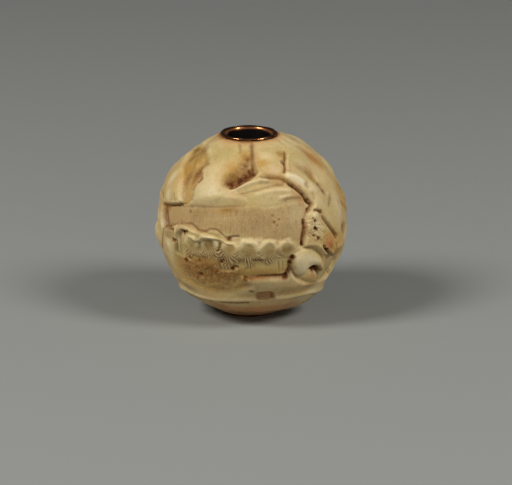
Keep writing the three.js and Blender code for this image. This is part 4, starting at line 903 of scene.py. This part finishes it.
def makeBody():
    bpy.ops.mesh.primitive_cube_add(size=2, location=(0, 0, 0))
    body = bpy.context.object
    body.name = "carvedBall"
    bpy.ops.object.mode_set(mode="EDIT")
    bpy.ops.mesh.subdivide(number_cuts=ball["cells"] - 1)
    bpy.ops.object.mode_set(mode="OBJECT")
    setPlaces(body, directions(np.tan(getPlaces(body) * math.pi / 4)))
    # a finer mesh over the side with the finest cuts
    middles = directions(middlesOf(body))
    u, v = middles @ front["right"], middles @ front["up"]
    fine = (np.abs(u) < ball["fineWidth"]) & (v > -ball["fineHeight"]) & (v < ball["fineHeight"])
    selectFaces(body, (middles @ front["out"] > 0) & fine)
    bpy.ops.object.mode_set(mode="EDIT")
    bpy.ops.mesh.subdivide(number_cuts=1)
    bpy.ops.object.mode_set(mode="OBJECT")
    centre = np.array([ball["lean"], 0, ball["centreUp"]])
    setPlaces(body, (centre + directions(getPlaces(body)) * ball["radius"]) * mm)
    boreBody(body)
    places = getPlaces(body) / mm
    outward = directions(places - centre)
    field = carveBall(outward)
    fromHole = np.hypot(places[:, 0], places[:, 1])
    fade = smooth((fromHole - ball["landRadius"]) / ball["fade"])
    field["height"] *= fade
    byLip = smooth(1 - (fromHole - ball["landRadius"]) / ball["collarWidth"])
    field["height"] += flattened(outward) * (1 - byLip)
    # the ivory rises or sinks a little to meet the eyelets' lips, because the hole isn't in the ball's middle
    overCentre = places[:, 2] - ball["centreUp"]
    lipUp = ball["centreUp"] - ball["lipSink"]
    byLip *= (fromHole > eyelet["lipRadius"]) & (np.abs(overCentre) > lipUp - ball["collarDepth"])
    byLip[np.abs(np.abs(overCentre) - (lipUp - ball["seatGap"])) < 0.002] = 0  # the seat's own corner stays
    around = places[:, :2] / np.maximum(fromHole, 0.001)[:, None] * ball["landRadius"]
    mouthUp = np.sqrt(ball["radius"] ** 2 - (around[:, 0] - ball["lean"]) ** 2 - around[:, 1] ** 2)
    places += outward * field["height"][:, None]
    places[:, 2] += byLip * np.sign(overCentre) * (lipUp - mouthUp)
    setPlaces(body, places * mm)
    field["cavity"] = hollowness(body, field["height"])
    uneven = np.clip(wobble(outward, 1.8, 9), -1.5, 1.5)
    fromLand = fromHole - ball["landRadius"]
    # a dark ring on the ivory round each eyelet: stain at the joint, and the lip's painted shadow
    field["stain"] = np.maximum(field["stain"] * fade, 0.6 * smooth(1 - fromLand / (0.32 + 0.1 * uneven)))
    field["ruddy"] = np.maximum(field["ruddy"] * fade, 0.5 * smooth(1 - fromLand / 0.9))
    for name in ("ochre", "pale", "olive", "hatch", "needle", "fan"):
        field[name] *= fade
    for name in ("stain", "ochre", "pale", "ruddy", "olive", "hatch", "cavity", "needle", "fan"):
        attribute = body.data.attributes.new(name, "FLOAT", "POINT")
        attribute.data.foreach_set("value", field[name].astype(np.float32))
    bpy.ops.object.shade_smooth()
    print("carved ball:", len(body.data.polygons), "faces")
    return body


def boreBody(body):  # the seats, countersinks and the cord hole, all turned in one cutter
    halfHeight = ball["centreUp"]
    gap = ball["seatGap"]
    sleeve = eyelet["holeRadius"] + eyelet["wall"] + gap
    seat = halfHeight - 2 * eyelet["roll"] - gap
    profile = [(eyelet["lipRadius"] + gap, halfHeight + 1), (eyelet["lipRadius"] + gap, seat),
        (sleeve + eyelet["coneSpread"], seat), (sleeve, halfHeight - eyelet["flareDepth"] - gap),
        (sleeve, 0.0)]
    profile += [(radius, -height) for radius, height in profile[-2::-1]]
    cutter = turnRings(profile, ball["boreColumns"])
    bpy.ops.object.mode_set(mode="EDIT")
    bpy.ops.mesh.edge_face_add()
    bpy.ops.mesh.select_mode(type="EDGE")
    bpy.ops.mesh.select_all(action="DESELECT")
    bpy.ops.mesh.select_non_manifold()
    bpy.ops.mesh.edge_face_add()
    bpy.ops.mesh.select_all(action="SELECT")
    bpy.ops.mesh.normals_make_consistent(inside=False)
    bpy.ops.transform.translate(value=(0, 0, halfHeight * mm))
    bpy.ops.object.mode_set(mode="OBJECT")
    pick(body)
    bore = body.modifiers.new("bore", "BOOLEAN")
    bore.operation = "DIFFERENCE"
    bore.solver = "EXACT"
    bore.object = cutter
    bpy.ops.object.modifier_apply(modifier=bore.name)
    bpy.data.objects.remove(cutter)


def turnRings(profile, columns):  # a turned shell: a circle carried up through (radius, height) pairs
    radius, low = profile[0]
    bpy.ops.mesh.primitive_circle_add(vertices=columns, radius=radius * mm, location=(0, 0, 0))
    shell = bpy.context.object
    bpy.ops.object.mode_set(mode="EDIT")
    bpy.ops.mesh.select_mode(type="VERT")
    bpy.ops.mesh.select_all(action="SELECT")
    bpy.ops.transform.translate(value=(0, 0, low * mm))
    for wider, height in profile[1:]:
        bpy.ops.mesh.extrude_edges_move(TRANSFORM_OT_translate={"value": (0, 0, (height - low) * mm)})
        share = wider / radius
        bpy.ops.transform.resize(value=(share, share, 1), center_override=(0, 0, height * mm))
        radius, low = wider, height
    bpy.ops.object.mode_set(mode="OBJECT")
    return shell


def pick(thing):  # the only one selected, and the active one
    bpy.ops.object.select_all(action="DESELECT")
    thing.select_set(True)
    bpy.context.view_layer.objects.active = thing


def getPlaces(thing):
    flat = np.empty(len(thing.data.vertices) * 3)
    thing.data.vertices.foreach_get("co", flat)
    return flat.reshape(-1, 3)


def setPlaces(thing, places):
    thing.data.vertices.foreach_set("co", np.asarray(places, dtype=np.float32).ravel())
    thing.data.update()


def middlesOf(thing):
    flat = np.empty(len(thing.data.polygons) * 3)
    thing.data.polygons.foreach_get("center", flat)
    return flat.reshape(-1, 3)


def selectFaces(thing, wanted):  # for the next step in edit mode
    mesh = thing.data
    mesh.vertices.foreach_set("select", np.zeros(len(mesh.vertices), dtype=bool))
    mesh.edges.foreach_set("select", np.zeros(len(mesh.edges), dtype=bool))
    mesh.polygons.foreach_set("select", wanted)
    bpy.context.tool_settings.mesh_select_mode = (False, False, True)
    mesh.update()


def hollowness(thing, height):  # how far each place lies under the average of its neighbourhood
    edges = np.empty(len(thing.data.edges) * 2, dtype=np.int32)
    thing.data.edges.foreach_get("vertices", edges)
    a, b = edges.reshape(-1, 2).T
    count = np.bincount(a, minlength=len(height)) + np.bincount(b, minlength=len(height))
    level = height.copy()
    total = np.zeros(len(height))
    for i in range(ball["evenings"]):
        around = np.bincount(a, weights=level[b], minlength=len(height))
        around += np.bincount(b, weights=level[a], minlength=len(height))
        level = 0.5 * level + 0.5 * around / count
        if i in (ball["evenings"] // 6, ball["evenings"] - 1):
            total += level - height
    return total


eyelet = {
    "holeRadius": 1.35,
    "wall": 0.22,
    "sleeve": 3.4,       # its length below the face
    "lipRadius": 2.38,
    "roll": 0.09,        # the lip's outer edge
    "innerRoll": 0.2,    # and the curve down into its mouth
    "flareDepth": 1.1,
    "coneSpread": 0.48,  # how much wider the funnel is under the lip than the sleeve
    "lipTop": 0.1,       # width of the flat ring between the two curves
    "steep": 0.42,       # where the inner curve turns into the funnel, as an angle above level
    "columns": 128,
    "rollSteps": 15,
    "innerSteps": 10,
    "funnelSteps": 9,
    "dents": 0.012,
    "dentSize": 1.6,
    "grimeFrom": 0.06,   # the painted shade and grime start this far below the face
    "grimeFull": 0.3,    # and are whole from here down
}


def makeEyelet(name, faceUp, upwards):
    e = eyelet
    sleeve = e["holeRadius"] + e["wall"]
    outer, inner = e["lipRadius"] - e["roll"], e["lipRadius"] - e["roll"] - e["lipTop"]
    profile = [(sleeve, -e["sleeve"]), (sleeve, -e["flareDepth"]), (sleeve + e["coneSpread"], -2 * e["roll"])]
    for t in np.linspace(-math.pi / 2, math.pi / 2, e["rollSteps"]):
        profile.append((outer + e["roll"] * math.cos(t), e["roll"] * (math.sin(t) - 1)))
    for t in np.linspace(math.pi / 2, e["steep"], e["innerSteps"]):
        start, low = inner - e["innerRoll"] * math.cos(t), e["innerRoll"] * (math.sin(t) - 1)
        profile.append((start, low))
    for t in np.linspace(0.12, 1, e["funnelSteps"]):  # the funnel narrows from there to the sleeve's hole
        narrowing = 1 - (1 - t) ** 1.4
        profile.append((start + (e["holeRadius"] - start) * narrowing, low + (-e["flareDepth"] - low) * t))
    profile += [(e["holeRadius"], -0.6 * e["sleeve"]), (e["holeRadius"], -e["sleeve"])]
    piece = turnRings(profile, e["columns"])
    piece.name = name
    bpy.ops.object.mode_set(mode="EDIT")
    bpy.ops.mesh.select_mode(type="EDGE")
    bpy.ops.mesh.select_all(action="DESELECT")
    bpy.ops.mesh.select_non_manifold()
    bpy.ops.mesh.bridge_edge_loops()
    bpy.ops.mesh.select_all(action="SELECT")
    bpy.ops.mesh.normals_make_consistent(inside=False)
    bpy.ops.object.mode_set(mode="OBJECT")
    places = getPlaces(piece) / mm
    away = np.hypot(places[:, 0], places[:, 1])
    # painted shade with grime: darker down the mouth towards the cord hole, and dark under the outer edge of
    # the lip
    grime = smooth((-e["grimeFrom"] - places[:, 2]) / (e["grimeFull"] - e["grimeFrom"])) * (away < outer)
    under = smooth((-0.6 * e["roll"] - places[:, 2]) / (0.6 * e["roll"]))
    grime = np.maximum(grime, 0.9 * under * (away > outer))
    dents = e["dents"] * wobble(directions(places + [0, 0, 4.0]), e["dentSize"], 8)
    places += dents[:, None] * [0.4, 0.4, 1]
    places[:, 2] = np.minimum(places[:, 2], 0)
    places[:, 2] = faceUp + upwards * places[:, 2]
    setPlaces(piece, places * mm)
    attribute = piece.data.attributes.new("grime", "FLOAT", "POINT")
    attribute.data.foreach_set("value", np.clip(grime, 0, 1).astype(np.float32))
    if upwards < 0:
        bpy.ops.object.mode_set(mode="EDIT")
        bpy.ops.mesh.select_all(action="SELECT")
        bpy.ops.mesh.normals_make_consistent(inside=False)
        bpy.ops.object.mode_set(mode="OBJECT")
    bpy.ops.object.shade_smooth()
    return piece


def linear(r, g, b):  # a colour as it looks on screen, out of 255
    def one(c):
        c /= 255
        return c / 12.92 if c <= 0.04045 else ((c + 0.055) / 1.055) ** 2.4
    return (one(r), one(g), one(b), 1)


def newMaterial(name):
    material = bpy.data.materials.new(name)
    material.use_nodes = True
    tree = material.node_tree
    shader = tree.nodes["Principled BSDF"]
    return material, tree, shader


def node(tree, kind, inputs=None, **settings):  # inputs are values or other nodes' sockets
    new = tree.nodes.new(kind)
    for key, value in settings.items():
        setattr(new, key, value)
    for key, value in (inputs or {}).items():
        if isinstance(value, bpy.types.NodeSocket):
            tree.links.new(value, new.inputs[key])
        else:
            new.inputs[key].default_value = value
    return new


def attributeOf(tree, name):
    return node(tree, "ShaderNodeAttribute", attribute_name=name).outputs["Fac"]


def reckon(tree, operation, a, b=0.0, clamp=False):  # one sum in the material
    return node(tree, "ShaderNodeMath", {0: a, 1: b}, operation=operation, use_clamp=clamp).outputs[0]


def mixed(tree, share, a, b):
    mix = node(tree, "ShaderNodeMix", data_type="RGBA", blend_type="MIX")
    for key, value in ((0, share), (6, a), (7, b)):
        if isinstance(value, bpy.types.NodeSocket):
            tree.links.new(value, mix.inputs[key])
        else:
            mix.inputs[key].default_value = value
    return mix.outputs[2]


ivory = {
    "base": linear(204, 181, 126),
    "warm": linear(191, 158, 97),
    "pale": linear(224, 206, 162),
    "ochre": linear(184, 139, 62),
    "olive": linear(176, 154, 92),
    "tan": linear(180, 148, 98),
    "ruddy": linear(192, 113, 64),
    "brown": linear(112, 62, 8),
    "dark": linear(48, 26, 8),
    "cloudScale": 260.0,    # sizes of the mottling, as noise scales
    "ochreScale": 110.0,
    "paleScale": 170.0,
    "patchScale": 700.0,
    "speckScale": 2200.0,
    "fineScale": 6000.0,
    "scratchTurn": 84.0,    # scratches to a radian round the ball
    "scratchLength": 800.0,
    "roughness": 0.4,
    "stainRoughness": 0.5,  # and this much more where it's stained
    "specular": 0.2,
    "ior": 1.54,
    "glow": 0.3,            # light that goes into the ivory, how far for red, green and blue
    "glowRadius": (0.85, 0.6, 0.38),
    "glowScale": 0.0006,
    "bumpStrength": 0.6,
    "bumpDepth": 0.00004,
}


def ivoryMaterial():
    material, tree, shader = newMaterial("ivory")
    where = node(tree, "ShaderNodeTexCoord").outputs["Object"]

    def noise(name, detail):
        inputs = {"Vector": where, "Scale": ivory[name], "Detail": detail}
        return node(tree, "ShaderNodeTexNoise", inputs).outputs["Fac"]

    def times(a, b, clamp=False):
        return reckon(tree, "MULTIPLY", a, b, clamp)

    def above(value, level, gain):
        return times(reckon(tree, "SUBTRACT", value, level), gain, True)

    def plus(a, b):
        return reckon(tree, "ADD", a, b)

    cloud, speck, fine = noise("cloudScale", 3.0), noise("speckScale", 4.0), noise("fineScale", 3.0)
    stain, ochre, pale = attributeOf(tree, "stain"), attributeOf(tree, "ochre"), attributeOf(tree, "pale")
    ruddy, olive, hatch = attributeOf(tree, "ruddy"), attributeOf(tree, "olive"), attributeOf(tree, "hatch")
    cavity = attributeOf(tree, "cavity")
    # the upright scratches in the sky: noise drawn out along the ball's height
    apart = node(tree, "ShaderNodeSeparateXYZ", {"Vector": where})
    turn = reckon(tree, "ARCTAN2", apart.outputs["X"], times(apart.outputs["Y"], -1.0))
    across, along = times(turn, ivory["scratchTurn"]), times(apart.outputs["Z"], ivory["scratchLength"])
    upright = node(tree, "ShaderNodeCombineXYZ", {"X": across, "Y": along}).outputs["Vector"]
    scratch = node(tree, "ShaderNodeTexNoise", {"Vector": upright, "Scale": 1.0, "Detail": 2.0})
    scratch = times(reckon(tree, "SUBTRACT", scratch.outputs["Fac"], 0.5), hatch)
    # the needles of the pines
    strand = times(attributeOf(tree, "needle"), 2 * math.pi)
    strand = times(reckon(tree, "SINE", strand), attributeOf(tree, "fan"))
    patch = noise("patchScale", 3.0)

    uneven = plus(0.55, times(cloud, 0.9))
    colour = mixed(tree, above(cloud, 0.4, 2.5), ivory["base"], ivory["warm"])
    colour = mixed(tree, times(above(noise("ochreScale", 2.0), 0.5, 4.0), 0.4), colour, ivory["ochre"])
    colour = mixed(tree, times(above(noise("paleScale", 2.0), 0.5, 4.0), 0.45), colour, ivory["pale"])
    colour = mixed(tree, times(above(patch, 0.5, 3.0), 0.35), colour, ivory["ruddy"])
    colour = mixed(tree, times(above(times(patch, -1.0), -0.44, 4.0), 0.4), colour, ivory["olive"])
    colour = mixed(tree, times(olive, 0.8), colour, ivory["olive"])
    colour = mixed(tree, times(hatch, 0.8), colour, ivory["tan"])
    colour = mixed(tree, times(ochre, 0.85), colour, ivory["ochre"])
    colour = mixed(tree, times(ruddy, 0.9), colour, ivory["ruddy"])
    worn = times(above(times(cavity, -1.0), 0.03, 5.0), 0.38)
    colour = mixed(tree, reckon(tree, "MAXIMUM", pale, worn), colour, ivory["pale"])
    hollow = times(times(above(cavity, 0.015, 4.5), uneven), 0.62)
    colour = mixed(tree, hollow, colour, ivory["brown"])
    colour = mixed(tree, times(above(scratch, 0.02, 4.0), 0.4), colour, ivory["brown"])
    colour = mixed(tree, above(speck, 0.56, 1.0), colour, ivory["brown"])
    colour = mixed(tree, times(above(fine, 0.5, 3.0), 0.2), colour, ivory["brown"])
    colour = mixed(tree, times(above(times(fine, -1.0), -0.5, 3.0), 0.22), colour, ivory["pale"])
    grain = plus(0.1, plus(times(speck, 0.8), times(fine, 1.0)))
    stain = times(stain, grain, True)
    colour = mixed(tree, times(stain, 1.45, True), colour, ivory["brown"])
    colour = mixed(tree, above(stain, 0.6, 2.4), colour, ivory["dark"])
    colour = mixed(tree, times(above(times(strand, uneven), 0.1, 1.2), 0.4), colour, ivory["pale"])
    colour = mixed(tree, times(above(times(strand, -1.0), 0.1, 1.2), 0.14), colour, ivory["brown"])
    tree.links.new(colour, shader.inputs["Base Color"])
    roughness = plus(ivory["roughness"], times(stain, ivory["stainRoughness"]))
    tree.links.new(roughness, shader.inputs["Roughness"])
    shader.inputs["Specular IOR Level"].default_value = ivory["specular"]
    shader.inputs["Subsurface Weight"].default_value = ivory["glow"]
    shader.inputs["Subsurface Radius"].default_value = ivory["glowRadius"]
    shader.inputs["Subsurface Scale"].default_value = ivory["glowScale"]
    shader.inputs["IOR"].default_value = ivory["ior"]
    relief = plus(times(scratch, 1.2), plus(times(speck, 0.5), times(strand, 0.35)))
    inputs = {"Height": plus(times(fine, 0.25), relief)}
    inputs.update({"Strength": ivory["bumpStrength"], "Distance": ivory["bumpDepth"]})
    bump = node(tree, "ShaderNodeBump", inputs)
    tree.links.new(bump.outputs["Normal"], shader.inputs["Normal"])
    return material


gilt = {  # copper that has lost some of its gilding
    "bright": linear(206, 136, 84),
    "worn": linear(116, 62, 34),
    # the colour of the painted shade and grime
    "dark": linear(7, 4, 2),
    "cloudScale": 900.0,
    "roughness": 0.2,
    "grimeRoughness": 0.5,  # and this much more under the grime and painted shade
    "specular": 0.04,
    "bumpStrength": 0.2,
    "bumpDepth": 0.00003,
}


def giltMaterial():
    material, tree, shader = newMaterial("giltCopper")
    where = node(tree, "ShaderNodeTexCoord").outputs["Object"]
    inputs = {"Vector": where, "Scale": gilt["cloudScale"], "Detail": 4.0}
    cloud = node(tree, "ShaderNodeTexNoise", inputs).outputs["Fac"]
    grime = attributeOf(tree, "grime")
    wear = reckon(tree, "MULTIPLY", reckon(tree, "SUBTRACT", cloud, 0.4), 3.0, True)
    colour = mixed(tree, wear, gilt["bright"], gilt["worn"])
    # painted shade with grime: near black down the mouth and under the lip's outer edge, a little uneven
    shade = reckon(tree, "ADD", reckon(tree, "MULTIPLY", cloud, 0.6), 0.8)
    colour = mixed(tree, reckon(tree, "MULTIPLY", grime, shade, True), colour, gilt["dark"])
    tree.links.new(colour, shader.inputs["Base Color"])
    dull = reckon(tree, "MULTIPLY", grime, gilt["grimeRoughness"])
    tree.links.new(reckon(tree, "ADD", gilt["roughness"], dull), shader.inputs["Roughness"])
    tree.links.new(reckon(tree, "SUBTRACT", 1.0, grime), shader.inputs["Metallic"])
    shader.inputs["Specular IOR Level"].default_value = gilt["specular"]
    inputs = {"Height": cloud, "Strength": gilt["bumpStrength"], "Distance": gilt["bumpDepth"]}
    bump = node(tree, "ShaderNodeBump", inputs)
    tree.links.new(bump.outputs["Normal"], shader.inputs["Normal"])
    return material


stage = {
    "floor": linear(142, 143, 138),
    "floorSize": 3.0,
    "floorRoughness": 0.8,
    "worldLight": 0.038,
    "lampDistance": 0.32,
    "lamps": (  # name, turn from the front, height in degrees, power, size
        ("leftLamp", -62, 42, 0.77, 0.112),
        ("rightLamp", 62, 42, 0.61, 0.112),
        ("fillLamp", 12, 8, 0.16, 0.224),
    ),
}


def makeFloor():
    bpy.ops.mesh.primitive_plane_add(size=stage["floorSize"], location=(0, 0, 0))
    floor = bpy.context.object
    floor.name = "floor"
    material, _, shader = newMaterial("paleFloor")
    shader.inputs["Base Color"].default_value = stage["floor"]
    shader.inputs["Roughness"].default_value = stage["floorRoughness"]
    floor.data.materials.append(material)


def addLamp(name, azimuth, elevation, power, size):
    target = np.array([0, 0, ball["centreUp"] * mm])
    place = target + sideOf(azimuth, elevation)["out"] * stage["lampDistance"]
    bpy.ops.object.light_add(type="AREA", location=place)
    lamp = bpy.context.object
    lamp.name = name
    lamp.data.shape = "DISK"
    lamp.data.size = size
    lamp.data.energy = power
    lamp.rotation_euler = (math.pi / 2 - math.radians(elevation), 0, math.radians(azimuth))


def lightStage():
    world = bpy.data.worlds.new("studio")
    bpy.context.scene.world = world
    world.use_nodes = True
    sky = world.node_tree.nodes["Background"]
    sky.inputs["Color"].default_value = (1, 1, 1, 1)
    sky.inputs["Strength"].default_value = stage["worldLight"]
    for lamp in stage["lamps"]:
        addLamp(*lamp)


camera = {
    "elevation": 16.5,
    "distance": 300.0,
    "frameWidth": 43.35,
    "ballRight": -0.34,  # where the ball's centre lies from the middle of the frame
    "ballUp": 1.82,
    "sensor": 36.0,
    "clipStart": 0.01,
}


def placeCamera():
    c = camera
    view = sideOf(0, c["elevation"])
    centre = np.array([ball["lean"], 0, ball["centreUp"]])
    aim = centre - c["ballRight"] * view["right"] - c["ballUp"] * view["up"]
    bpy.ops.object.camera_add(location=(aim + c["distance"] * view["out"]) * mm)
    eye = bpy.context.object
    eye.rotation_euler = (math.pi / 2 - math.radians(c["elevation"]), 0, 0)
    eye.data.sensor_width = c["sensor"]
    eye.data.lens = c["sensor"] * c["distance"] / c["frameWidth"]
    eye.data.clip_start = c["clipStart"]
    bpy.context.scene.camera = eye


placeCamera()
makeFloor()
lightStage()
print("stage set")

ivoryFinish = ivoryMaterial()
giltFinish = giltMaterial()

body = makeBody()
body.data.materials.append(ivoryFinish)
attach(body, "root")
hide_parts("carved_body")

for name, cadNode, faceUp, upwards in (
    ("topEyelet", "top_eyelet", 2 * ball["centreUp"], 1), ("bottomEyelet", "bottom_eyelet", 0.0, -1),
):
    ring = makeEyelet(name, faceUp, upwards)
    ring.data.materials.append(giltFinish)
    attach(ring, "root")
    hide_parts(cadNode)
print("eyelets made")

bpy.context.scene.view_settings.view_transform = "Standard"
